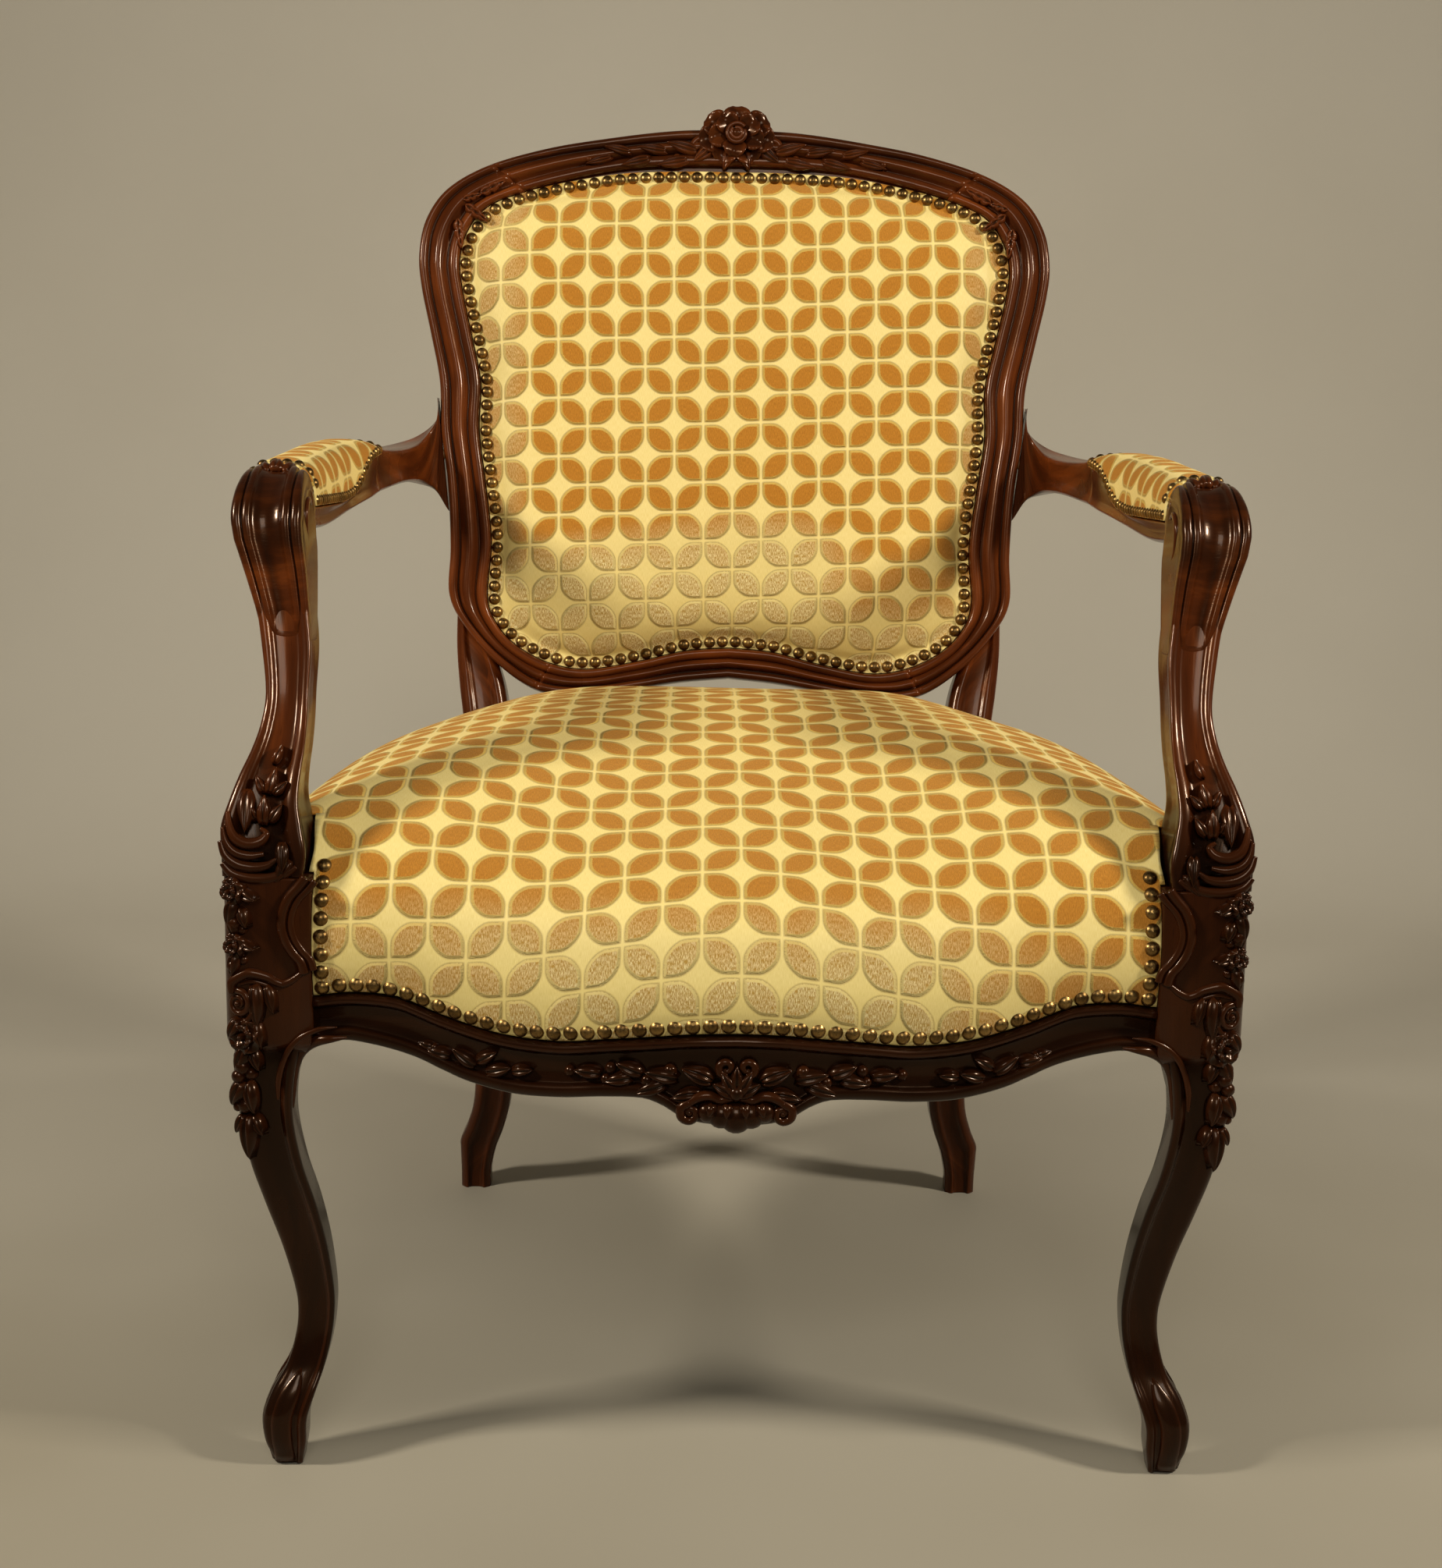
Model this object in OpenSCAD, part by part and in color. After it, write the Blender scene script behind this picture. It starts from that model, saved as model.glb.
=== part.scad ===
// Open armchair with a carved and moulded show-wood frame, a sprung seat and a padded back.
// Millimetres. X runs across the chair, Y from front to back, Z up. The chair faces -Y.
// "Left" and "right" are the sitter's, so left is +X. Heights are above the floor.
// The seat and leg sizes are set from the corner block, the back sizes from the lower rail.

/* [Seat frame] */
// Width over the two front corner blocks
seat_w = 632; // [600:1:670]
// From the middle of a front corner block to the middle of a rear leg
seat_run = 478; // [450:1:500]
// Side of the square front corner block
block = 54; // [50:1:58]
// Height of the top of the front corner block
block_top = 392; // [380:1:400]
// Height of the top of the seat rails
rail_top = 368; // [362:1:374]
// Thickness of the front and side seat rails
rail_t = 30; // [26:1:34]
// How far the front rail bows forward of its ends
front_bow = 50; // [40:1:55]
// How far the side rails bow outward of a straight line
side_bow = 12; // [0:1:16]
// Width of a rear leg at the seat rails
stile_w = 40; // [38:1:44]
// Depth of a rear leg at the seat rails
stile_d = 42; // [38:1:46]
// Distance between the middles of the rear legs at the seat rails
stile_gap = 402; // [392:1:410]

/* [Legs] */
// How far the front ankle draws in from the corner block
ankle_in = 20.5; // [16:0.5:26]
// Width of the front ankle
ankle_w = 25; // [22:1:32]
// Width of the front foot where it meets the floor
foot_w = 18; // [16:1:22]
// How far the rear foot kicks back behind the leg
rear_kick = 52; // [40:1:58]
// Width of the rear foot where it meets the floor
rear_foot_w = 26; // [22:1:30]

/* [Back] */
// Width of the back frame at its widest
back_w = 527; // [500:1:540]
// Height of the back frame, from its lower rail to the top of the crest
back_h = 457; // [430:1:480]
// Lean of the back from upright, in degrees
back_rake = 9.5; // [7:0.5:11]
// Height where the back frame starts
back_z = 463; // [458:1:470]
// How far the sides of the back come forward of its middle
back_hollow = 24; // [12:1:30]
// Thickness of the back frame behind its moulded face
frame_t = 24; // [22:1:28]
// Width of the ledge that carries the upholstery inside the mouldings
ledge = 15; // [14:1:18]
// Radius of the rose carved at the middle of the crest
rose_r = 25; // [20:1:28]

/* [Arms] */
// How far the arm knuckles stand outside the middles of the front corner blocks
knuckle_out = 12; // [6:0.5:18]
// Distance of the knuckle behind the middle of the front corner block
knuckle_back = 78; // [70:1:86]
// Height of the top of the knuckle
knuckle_top = 632; // [620:1:642]
// Radius of the rolled knuckle at the front of the arm
knuckle_r = 27; // [24:1:30]
// Width of the knuckle
knuckle_w = 46; // [42:1:48]
// Width of the waist of the arm support
waist_w = 27; // [24:1:32]
// Length of the arm pad
pad_l = 231; // [210:1:236]
// Width of the arm pad
pad_w = 47; // [46:0.5:50]
// Height of the arm pad over the arm
pad_h = 15; // [12:1:20]

/* [Upholstery] */
// Height of the crown of the seat
crown_z = 474; // [468:1:490]
// Height of the line of nails at the middle of the front rail
nail_z = 315; // [310:1:318]
// Thickness of the cover fabric
cloth = 2; // [1.5:0.25:2.5]
// How far the back pad stands forward at its middle
back_pad = 26; // [18:1:34]
// Diameter of a nail head
nail_d = 9.5; // [8:0.5:10]
// Space from one nail to the next
nail_pitch = 10.9; // [10.5:0.1:13]
// Diameter of a nail head on the arm pads
pad_nail_d = 7; // [6:0.5:8]
// Width of a webbing strap
web_w = 50; // [40:1:55]
// Thickness of a webbing strap
web_t = 1.8; // [1.2:0.1:2.2]
// Diameter of a seat spring at its ends
spring_d = 90; // [70:1:96]
// Turns of a seat spring
spring_turns = 4; // [3:1:5]

/* [Joints] */
// Length of the tenons on the seat rails
tenon_l = 26; // [20:1:32]
// Thickness of the tenons
tenon_t = 11; // [9:1:13]
// Diameter of the dowels
dowel_d = 10; // [8:1:11]
// Length of the dowels
dowel_l = 40; // [30:1:46]
// Clearance round each tenon and dowel
fit = 0.1; // [0.05:0.05:0.3]
// Clearance between pieces that lie on each other
seat_gap = 0.3; // [0.2:0.05:0.5]

/* [Hidden] */
wood = "#4a2412";
fabric = "#dcae4a";
metal = "#8a6a35";
canvas = "#b59c74";

block_x = seat_w / 2 - block / 2;
block_y = -262;
stile_x = stile_gap / 2;
stile_y = block_y + seat_run;
back_y = stile_y + 2;
// Half of the back frame from the middle of the lower rail to the middle of the crest:
// the outer edge and then the inner edge, each across and up
ring_half = [
    [0, 2, 0, 27], [40, -2, 37, 24], [82, -9, 74, 15], [125, -15, 118, 7],
    [162, -11, 149, 11], [196, 12, 176, 24], [222, 42, 194, 42], [234.5, 68, 203, 66],
    [234, 107, 200.5, 112], [237, 160, 206, 160], [243, 205, 212, 205], [245, 245, 211.5, 245],
    [253, 285, 219, 282], [261, 322, 227, 318], [263.5, 350, 230.5, 345], [258, 380, 225, 370],
    [240, 407, 209, 392], [205, 429, 178, 407], [158, 444, 141, 418], [105, 452, 95, 427],
    [50, 456.5, 46, 430.5], [0, 457, 0, 431]];
// The outlines of the back follow back_w and back_h from the size they are drawn at
drawn_w = 2 * max([for (r = ring_half) r[0]]);
drawn_h = max([for (r = ring_half) r[1]]);
kx = back_w / drawn_w;
ks = back_h / drawn_h;
// The line where the seat rails end against the blocks
rail_end = block_x - block / 2;
front_face = block_y - 16;
// Underside of the inner part of the rails, where the webbing is tacked, and how far the straps
// stay from the rails' outer faces
web_z = 292;
web_hold = 14;
// Underside of the front and side rails' tenons, and their height
tenon_z = 305;
tenon_h = 50;
// Middle of the whole chair from front to back
front_most = front_face - front_bow - 8;
back_most = at_back(0, back_h, -frame_t)[1];
mid_shift = -(front_most + back_most) / 2;

// Smooth curves and lofts

function lerp(a, b, t) = a + (b - a) * t;
function clamp(t, low, high) = max(low, min(high, t));
function row(p, i) = p[clamp(i, 0, len(p) - 1)];
// A smooth curve through the rows of p, with t counted in rows
function curve(p, t) =
    let (i = clamp(floor(t), 0, len(p) - 2), u = t - i)
    let (a = row(p, i - 1), b = p[i], c = p[i + 1], d = row(p, i + 2))
    0.5 * (2 * b + (c - a) * u + (2 * a - 5 * b + 4 * c - d) * u * u
           + (3 * b - a - 3 * c + d) * u * u * u);
function mean(p) = [for (k = [0:2]) let (v = [for (q = p) q[k]]) v * [for (q = p) 1] / len(p)];
function flip(p) = [for (i = [len(p) - 1:-1:0]) p[i]];
// The rows where a table p reaches the value v in its first column
function row_at(p, v, i = 0) =
    i >= len(p) - 2 || (p[i + 1][0] - v) * (p[i][0] - v) <= 0
    ? i + clamp((v - p[i][0]) / (p[i + 1][0] - p[i][0]), 0, 1) : row_at(p, v, i + 1);
function at(p, v) = curve(p, row_at(p, v));

// Places along a table of n + 1 rows, at each row and halfway between rows a and b too
function rows_at(n, a, b) =
    concat([for (i = [0:n - 1], u = i >= a && i < b ? [0, 0.5] : [0]) i + u], [n]);

// A closed solid through rings of points. Each end is capped with the triangles in cap, given by
// places in the ring, or from the middle of the ring
module loft(rings, cap = []) {
    n = len(rings[0]);
    m = len(rings);
    fan = len(cap) == 0;
    pts = concat([for (r = rings) each r], fan ? [mean(rings[0]), mean(rings[m - 1])] : []);
    sides = [for (i = [0:m - 2], j = [0:n - 1])
        let (k = (j + 1) % n)
        each [[i * n + j, i * n + k, (i + 1) * n + k],
              [i * n + j, (i + 1) * n + k, (i + 1) * n + j]]];
    caps = fan
        ? [for (j = [0:n - 1])
            let (k = (j + 1) % n)
            each [[m * n, k, j], [m * n + 1, (m - 1) * n + j, (m - 1) * n + k]]]
        : [for (c = cap) each [flip(c), [for (i = c) (m - 1) * n + i]]];
    faces = concat(sides, caps);
    // Faces are turned so that the solid isn't inside out
    size = [for (f = faces) cross(pts[f[0]], pts[f[1]]) * pts[f[2]]] * [for (f = faces) 1];
    polyhedron(pts, size > 0 ? [for (f = faces) flip(f)] : faces);
}

module placed(c) {
    color(c)
        translate([0, mid_shift, 0])
            children();
}

module sided(left) {
    if (left)
        children();
    else
        mirror([1, 0, 0])
            children();
}

// The back: x across, s up the raked face, n forward of the face

function at_back(x, s, n) =
    let (f = n + back_hollow * pow(x / (back_w / 2), 2))
    [x, back_y + s * sin(back_rake) - f * cos(back_rake),
     back_z + s * cos(back_rake) + f * sin(back_rake)];
ring_edges = [for (r = ring_half) [r[0] * kx, r[1] * ks, r[2] * kx, r[3] * ks]];
joint_low = 4;
joint_top = 17;
// The moulding across the frame: share of the width, distance from that line, height
moulding = [
    [0, 3, -frame_t], [0, 0, 4 - frame_t], [0, 0, -3], [0, 2, 0.8], [0, 5.5, 0.8], [0, 8, -2.5],
    [0.36, 0, 0.8], [0.46, 0, 3.4], [0.56, 0, 2.6], [0.66, 0, -0.8], [1, -8.5, -0.6],
    [1, -5.5, 2.6], [1, -2, 3], [1, 0, 0.5], [1, 0, -4.5], [1, ledge, -4.5],
    [1, ledge, 4 - frame_t], [1, ledge - 3, -frame_t]];
function ring_row(t) =
    let (e = curve(ring_edges, abs(t)), g = t < 0 ? -1 : 1)
    [g * e[0], e[1], g * e[2], e[3]];
// The moulding's end face in triangles. The dowels sit in the large one
dowel_corners = [1, 9, 16];
moulding_cap = [dowel_corners, [1, 2, 5], [2, 3, 5], [3, 4, 5], [1, 5, 9], [5, 6, 9], [6, 7, 9],
                [7, 8, 9], [9, 10, 14], [10, 11, 14], [11, 12, 14], [12, 13, 14], [9, 14, 16],
                [14, 15, 16], [1, 16, 17], [0, 1, 17]];
// The section of the frame at row t, negative on the other side
function frame_section(t) =
    let (e = ring_row(t), o = [e[0], e[1]], i = [e[2], e[3]], d = (i - o) / norm(i - o))
    [for (m = moulding) let (p = lerp(o, i, m[0]) + d * m[1]) at_back(p[0], p[1], m[2])];
// The line on the ledge at a distance from the inner edge of the mouldings
function ledge_at(t, off) =
    let (e = ring_row(t), o = [e[0], e[1]], i = [e[2], e[3]])
    i + (i - o) / norm(i - o) * off;

module frame_band(t0, t1, step) {
    loft([for (t = [t0:step:t1 + 0.001]) frame_section(t)], moulding_cap);
}

// Front legs

// Height, distance outward of the block's middle, width
leg_rows = [
    [300, 0, block - 6], [284, 0.5, block - 3], [268, 2, 45.5], [240, 2, 40],
    [208, -1.7, 37.5], [177, -8, 34.5], [146, -15, 31], [114, 0.5 - ankle_in, ankle_w + 1.8],
    [96, -ankle_in, ankle_w], [80, 2 - ankle_in, ankle_w], [64, -14.3, 26],
    [50, -8, 29.5], [34, -3, 28.5], [18, -3, 22.5], [6, -4, foot_w + 0.5], [0, -5, foot_w - 2]];
// One side of the leg's section, from the front inner bead to the outer ridge, in half widths
leg_side = [[-1, 0.72], [-1, 0.9], [-0.9, 1], [-0.74, 1], [-0.62, 0.84], [-0.2, 0.84],
            [0.25, 0.9], [0.62, 0.93]];
leg_section = concat([[-0.55, -0.96], [-0.96, -0.55]], leg_side, [[0.83, 0.83]],
                     [for (p = flip(leg_side)) [p[1], p[0]]]);

function leg_ring(t) =
    let (r = curve(leg_rows, t), h = r[2] / 2)
    [for (p = leg_section) [block_x + r[1] + p[0] * h, block_y - r[1] - p[1] * h, r[0]]];

// A leaf or petal, long along x, with its broad end at the start
module drop(l, w, h) {
    root = 5;
    hull() {
        translate([w / 2, 0, -root]) cylinder(h = h + w * 0.25 + root, d1 = w, d2 = w * 0.4, $fn = 6);
        translate([l - 1, 0, -root]) cylinder(h = root + 0.3, d = 1, $fn = 3);
    }
}

// A flower of petals round a middle, facing +Z
module flower(r, petals) {
    for (a = [0:petals - 1])
        rotate([0, 0, 360 * (a + 0.5) / petals])
            translate([r, 0, 0])
                rotate([0, 0, 180])
                    drop(r * 0.9, r * 0.8, r * 0.12);
    sphere(r * 0.36, $fn = 8);
}

// What is carved down the outer corner of the knee: height, size, count of petals
knee_carving = [[376, 14, 5], [290, 12, 5]];
// The leaves between and below them: height, length, width
knee_leaves = [[352, 34, 12], [262, 26, 10], [236, 22, 8]];

module knee_flowers() {
    for (k = knee_carving) {
        r = at(leg_rows, min(k[0], leg_rows[0][0]));
        reach = (k[0] > leg_rows[0][0] ? block / 2 : r[2] / 2) * 0.86 + r[1] - 1.5;
        translate([block_x + reach, block_y - reach, k[0]])
            rotate([0, 0, -45])
                rotate([0, 90, 0])
                    flower(k[1], k[2]);
    }
    for (k = knee_leaves) {
        r = at(leg_rows, min(k[0], leg_rows[0][0]));
        reach = (k[0] > leg_rows[0][0] ? block / 2 : r[2] / 2) * 0.86 + r[1] - 1;
        translate([block_x + reach, block_y - reach, k[0]])
            rotate([0, k[0] > leg_rows[0][0] ? 90 : 94, -45])
                drop(k[1], k[2], 1);
    }
}

module corner_post() {
    corner_r = 12;
    translate([block_x - block / 2, block_y + block / 2, leg_rows[0][0] - 15])
        mirror([0, 1, 0])
            linear_extrude(block_top - leg_rows[0][0] + 15)
                union() {
                    square([block - corner_r, block]);
                    square([block, block - corner_r]);
                    translate([block - corner_r, block - corner_r]) circle(corner_r, $fn = 16);
                }
}

module front_leg(left) {
    sided(left)
        difference() {
            union() {
                union() {
                    loft([for (t = rows_at(len(leg_rows) - 1, 9, 11)) leg_ring(t)]);
                    knee_flowers();
                }
                corner_post();
            }
            front_tenon(fit);
            side_tenon(fit);
            support_tenon(fit);
        }
}

module front_leg_left() { placed(wood) front_leg(true); }
module front_leg_right() { placed(wood) front_leg(false); }

// Front rail

// Across the rail: distance from the middle, nail height over the middle's, lower edge height
front_rows = [[0, 0, 253], [16, -0.5, 253], [32, -1.5, 256], [44, -3, 263], [56, -4.5, 267],
              [80, -7.5, 266], [106, -11, 263], [132, -11, 262], [150, -9, 264], [168, -5, 268],
              [184, -0.5, 274], [196, 4, 279], [208, 8, 282.5], [222, 9.5, 285.5],
              [242, 9.5, 288], [rail_end, 7, 285]];
function front_y(x) = front_face - front_bow * (0.5 + 0.5 * cos(180 * abs(x) / rail_end));
function front_nail(x) = nail_z + at(front_rows, abs(x))[1];
function front_low(x) = at(front_rows, abs(x))[2];
function front_ring(x) =
    let (y = front_y(x), z = front_nail(x) - nail_d / 2, l = front_low(x))
    [for (p = [[rail_t, rail_top], [16, rail_top], [0, rail_top - 34], [0, z - 1], [-4, z - 2],
               [-6, z - 5], [-3.5, z - 8.5], [-0.5, z - 11], [0, lerp(z - 11, l + 9, 0.5)],
               [-0.5, l + 10], [-4, l + 8], [-5, l + 4.5], [-2.5, l + 0.5], [8, l],
               [web_hold - 2, web_z], [rail_t, web_z]])
        [x, y + p[0], min(p[1], rail_top)]];

module front_tenon(c) {
    for (g = [0, 1])
        mirror([g, 0, 0])
            translate([rail_end - 2, front_face + rail_t / 2 + 2 - c, tenon_z - c])
                cube([tenon_l + 2 + c, tenon_t + 2 * c, tenon_h + 2 * c]);
}

// The carved middle of the apron: a shell over two curls, with leaves to each side. Each leaf:
// distance from the middle, height, turn, length, width
apron_leaves = [[5, 266, -20, 24, 12], [15, 284, 24, 28, 10], [38, 272, -6, 30, 10],
                [156, 276, 10, 30, 10]];

module apron_carving() {
    translate([0, front_y(0) - 2, 280])
        rotate([90, 0, 0])
            flower(17, 5);
    for (g = [-1, 1], p = apron_leaves)
        translate([g * p[0], front_y(p[0]) - 2, p[1]])
            rotate([90, 0, 0])
                rotate([0, 0, g < 0 ? 180 - p[2] : p[2]])
                    drop(p[3], p[4], 2);
}

module front_rail() {
    placed(wood) {
        union() {
            union() {
                steps = 22;
                loft([for (i = [0:steps]) front_ring(lerp(-rail_end, rail_end, i / steps))]);
                apron_carving();
            }
            front_tenon(0);
        }
    }
}

// Side rails

side_front = block_y + block / 2;
side_back = stile_y - stile_d / 2;
side_rows = [[0, 9.5, 285], [0.12, 9, 286], [0.25, 8, 279], [0.4, 7, 271], [0.55, 7, 268],
             [0.7, 7, 270], [0.85, 8, 277], [1, 9, 283]];
function side_x(u) =
    lerp(seat_w / 2 - 4, stile_x + stile_w / 2 - 3, u) + side_bow * sin(180 * u);
function side_nail(u) = nail_z + at(side_rows, clamp(u, 0, 1))[1];
function side_ring(u) =
    let (x = side_x(u), z = side_nail(u) - nail_d / 2, l = at(side_rows, u)[2])
    [for (p = [[rail_t, rail_top], [4, rail_top], [0, rail_top - 5], [0, z - 1], [-4, z - 2],
               [-6, z - 5], [-3.5, z - 8.5], [-0.5, z - 11], [0, l + 10], [-4, l + 8],
               [-5, l + 4.5], [-2.5, l + 0.5], [8, l], [web_hold - 2, web_z], [rail_t, web_z]])
        [x - p[0], lerp(side_front, side_back, u), p[1]]];

module side_tenon(c) {
    translate([rail_end + tenon_l + 1 - c, side_front - tenon_l - c, tenon_z - c])
        cube([tenon_t + 2 * c, tenon_l + 2 + c, tenon_h + 2 * c]);
    translate([stile_x - tenon_t / 2 - c + 1, side_back - 2, tenon_z - c])
        cube([tenon_t + 2 * c, tenon_l * 0.7 + 2 + c, tenon_h + 2 * c]);
}

module side_rail(left) {
    sided(left)
        union() {
            steps = 14;
            loft([for (i = [0:steps]) side_ring(i / steps)]);
            side_tenon(0);
        }
}

module side_rail_left() { placed(wood) side_rail(true); }
module side_rail_right() { placed(wood) side_rail(false); }

// Rear rail

rear_t = 24;
rear_low = 284;
rear_tenon_z = rear_low + 16;
rear_face = stile_y + stile_d / 2 - 12;

module rear_tenon(c) {
    for (g = [0, 1])
        mirror([g, 0, 0])
            translate([stile_x - stile_w / 2 - 2, rear_face - rear_t / 2 - tenon_t / 2 - c,
                       rear_tenon_z - c])
                cube([(stile_w - tenon_t) / 2 + 2 + c, tenon_t + 2 * c, tenon_h + 2 * c]);
}

module rear_rail() {
    w = stile_gap - stile_w;
    placed(wood) {
        union() {
            translate([-w / 2, rear_face - rear_t, web_z])
                cube([w, rear_t, rail_top - web_z]);
            translate([-w / 2, rear_face - rear_t / 2, rear_low])
                cube([w, rear_t / 2, web_z - rear_low + 1]);
            rear_tenon(0);
        }
    }
}

// Rear legs, each one piece from the floor to the shoulder of the back

// Height, distance outward of the middle at the seat, distance behind it, width, depth
stile_rows = [
    [0, 15.5, rear_kick, rear_foot_w, 27], [16, 15.5, rear_kick, rear_foot_w + 0.5, 28],
    [36, 13.5, rear_kick - 2, 31, 33], [46, 11.5, rear_kick - 4, 34, 34],
    [62, 5.5, rear_kick - 10, 33, 33], [90, -1, rear_kick - 19, 32, 33],
    [150, -5, rear_kick - 34, 34, 35], [220, -3, 6, stile_w - 3, stile_d - 3],
    [282, 0, 0, stile_w - 3, stile_d - 2], [360, 0, 0, stile_w - 3, stile_d - 2],
    [420, 1.5, 4, stile_w - 2, stile_d - 6], [455, 6, 9, 38, 28], [488, 13, 13, 30, 22],
    [520, 18, 16, 20, 18]];
function rounded(w, d, r) = [
    [w / 2 - r, -d / 2], [w / 2, r - d / 2], [w / 2, 0], [w / 2, d / 2 - r], [w / 2 - r, d / 2],
    [r - w / 2, d / 2], [-w / 2, d / 2 - r], [-w / 2, 0], [-w / 2, r - d / 2],
    [r - w / 2, -d / 2], [-w / 6, -d / 2 + 2.5], [w / 6, -d / 2 + 2.5]];
function stile_ring(t) =
    let (r = curve(stile_rows, t))
    [for (p = rounded(r[3], r[4], 5)) [stile_x + r[1] + p[0], stile_y + r[2] + p[1], r[0]]];

module rear_leg(left) {
    sided(left)
        difference() {
            union() {
                loft([for (t = rows_at(len(stile_rows) - 1, 5, 12)) stile_ring(t)]);
                frame_band(joint_low, joint_top, (joint_top - joint_low) / 20);
                translate([stile_x - stile_w / 2, stile_y - stile_d / 2, 282])
                    cube([stile_w, stile_d, rail_top + 4 - 282]);
            }
            side_tenon(fit);
            rear_tenon(fit);
            frame_dowel(joint_low, fit);
            frame_dowel(joint_top, fit);
            arm_dowel(fit);
        }
}

module rear_leg_left() { placed(wood) rear_leg(true); }
module rear_leg_right() { placed(wood) rear_leg(false); }

// Crest and lower rail

// A dowel along the frame where two of its pieces meet at row t
module frame_dowel(t, c) {
    ends = [for (e = [t - 0.2, t + 0.2])
        let (p = frame_section(e)) mean([for (i = dowel_corners) p[i]])];
    d = (ends[1] - ends[0]) / norm(ends[1] - ends[0]);
    translate(mean(ends))
        rotate([0, acos(d[2]), atan2(d[1], d[0])])
            cylinder(h = dowel_l + 2 * c, d = dowel_d + 2 * c, center = true, $fn = 32);
}

// Places children on the face of the back, turned by a, with +Z out of the face
module on_back(x, s, n, a) {
    slope = atan(2 * back_hollow * x / pow(back_w / 2, 2));
    translate(at_back(x, s, n))
        rotate([90 - back_rake, 0, 0])
            rotate([0, -slope, 0])
                rotate([0, 0, a])
                    children();
}

// Leaves along the crest: distance from the middle, up, turn, length, width
crest_spray = [[24, 447, 10, 30, 12], [50, 442, -8, 30, 11], [80, 442, 4, 26, 9],
               [104, 438, -14, 26, 8]];

module crest_carving() {
    top = back_h + 2;
    on_back(0, top, -7, 0) cylinder(h = 11, r = rose_r * 0.72, $fn = 12);
    on_back(0, top, 4, 90) flower(rose_r, 6);
    for (g = [-1, 1]) {
        on_back(g * rose_r * 0.8, top - 8, 1, g < 0 ? 205 : -25) drop(26, 15, 3);
        for (p = crest_spray)
            on_back(g * p[0] * kx, p[1] * ks, 0.5, g < 0 ? 180 - p[2] : p[2]) drop(p[3], p[4], 2);
    }
}

module crest_rail() {
    last = len(ring_half) - 1;
    half = concat([for (t = [joint_top:0.5:joint_top + 2]) t], [joint_top + 3, last]);
    placed(wood) {
        difference() {
            union() {
                loft(concat([for (t = half) frame_section(t)],
                            [for (i = [len(half) - 2:-1:0]) frame_section(-half[i])]),
                     moulding_cap);
                crest_carving();
            }
            for (g = [0, 1])
                mirror([g, 0, 0])
                    frame_dowel(joint_top, fit);
        }
    }
}

module back_lower_rail() {
    half = [for (t = [0:0.5:joint_low]) t];
    placed(wood) {
        difference() {
            loft(concat([for (i = [len(half) - 1:-1:1]) frame_section(-half[i])],
                        [for (t = half) frame_section(t)]), moulding_cap);
            for (g = [0, 1])
                mirror([g, 0, 0])
                    frame_dowel(joint_low, fit);
        }
    }
}

module back_dowels() {
    placed("#a9814f")
        for (g = [0, 1], t = [joint_low, joint_top])
            mirror([g, 0, 0])
                frame_dowel(t, 0);
}

// Arms and their supports

knuckle_x = block_x + knuckle_out;
knuckle_y = block_y + knuckle_back;
knuckle_z = knuckle_top - knuckle_r - 1;
arm_front = knuckle_y + knuckle_r - 5;
// The pad lies on the arm between these two places, just behind the knuckle
pad_front = arm_front + 1.5;
pad_rear = pad_front + pad_l;
// Height of the pad's lower edge along the arm, where it is nailed to the arm's sides
pad_line = [[pad_front, 614], [-45, 614.5], [-10, 618], [8, 625], [23, 636], [38, 642.5],
            [55, 645.5], [pad_rear, 647]];
function pad_low(y) = at(pad_line, clamp(y, pad_front, pad_rear))[1];
// How far the wood is cut back under the pad
rebate = 3.4;
arm_rows = let (e = ring_row(9.6), j = at_back(e[0], e[1], -11), w = knuckle_x - j[0]) [
    // x, y, top, bottom, thickness, turn from facing forward, 1 where the pad lies
    [j[0] + 2 * seat_gap, j[1], 694, 600, 15, 90, 0], [j[0] + 0.116 * w, j[1] - 1, 675, 616, 17, 82, 0],
    [j[0] + 0.299 * w, j[1] - 8, 662, 622, 22, 58, 0], [j[0] + 0.481 * w, j[1] - 30, 655, 624.5, 28, 28, 0],
    [j[0] + 0.647 * w, j[1] - 80, 651, 623.5, 34, 12, 0], [j[0] + 0.779 * w, pad_rear + 34, 651, 619, 38, 9, 0],
    [j[0] + 0.829 * w, pad_rear + 9, 654, 617, 41, 8, 0], [j[0] + 0.846 * w, pad_rear + 5, 653.5, 616, 41.5, 7, 0],
    [j[0] + 0.852 * w, pad_rear + 2, 651, 615.5, 42, 7, 1], [j[0] + 0.871 * w, 48, 648.5, 613, 42.5, 6, 1],
    [j[0] + 0.929 * w, 12, 643, 609, 43, 5, 1], [j[0] + 0.978 * w, -20, 640, 605, 43, 3, 1],
    [knuckle_x, arm_front + 60, 633, 598.5, 44, 0, 1], [knuckle_x, arm_front, 629, 599, 43, 0, 1]];
// How the side of the back leans outward, which the end of the arm is cut to
arm_lean = let (a = ring_row(8.8), b = ring_row(10.6))
    (b[0] - a[0]) / (b[1] - a[1]) / cos(back_rake);
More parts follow.
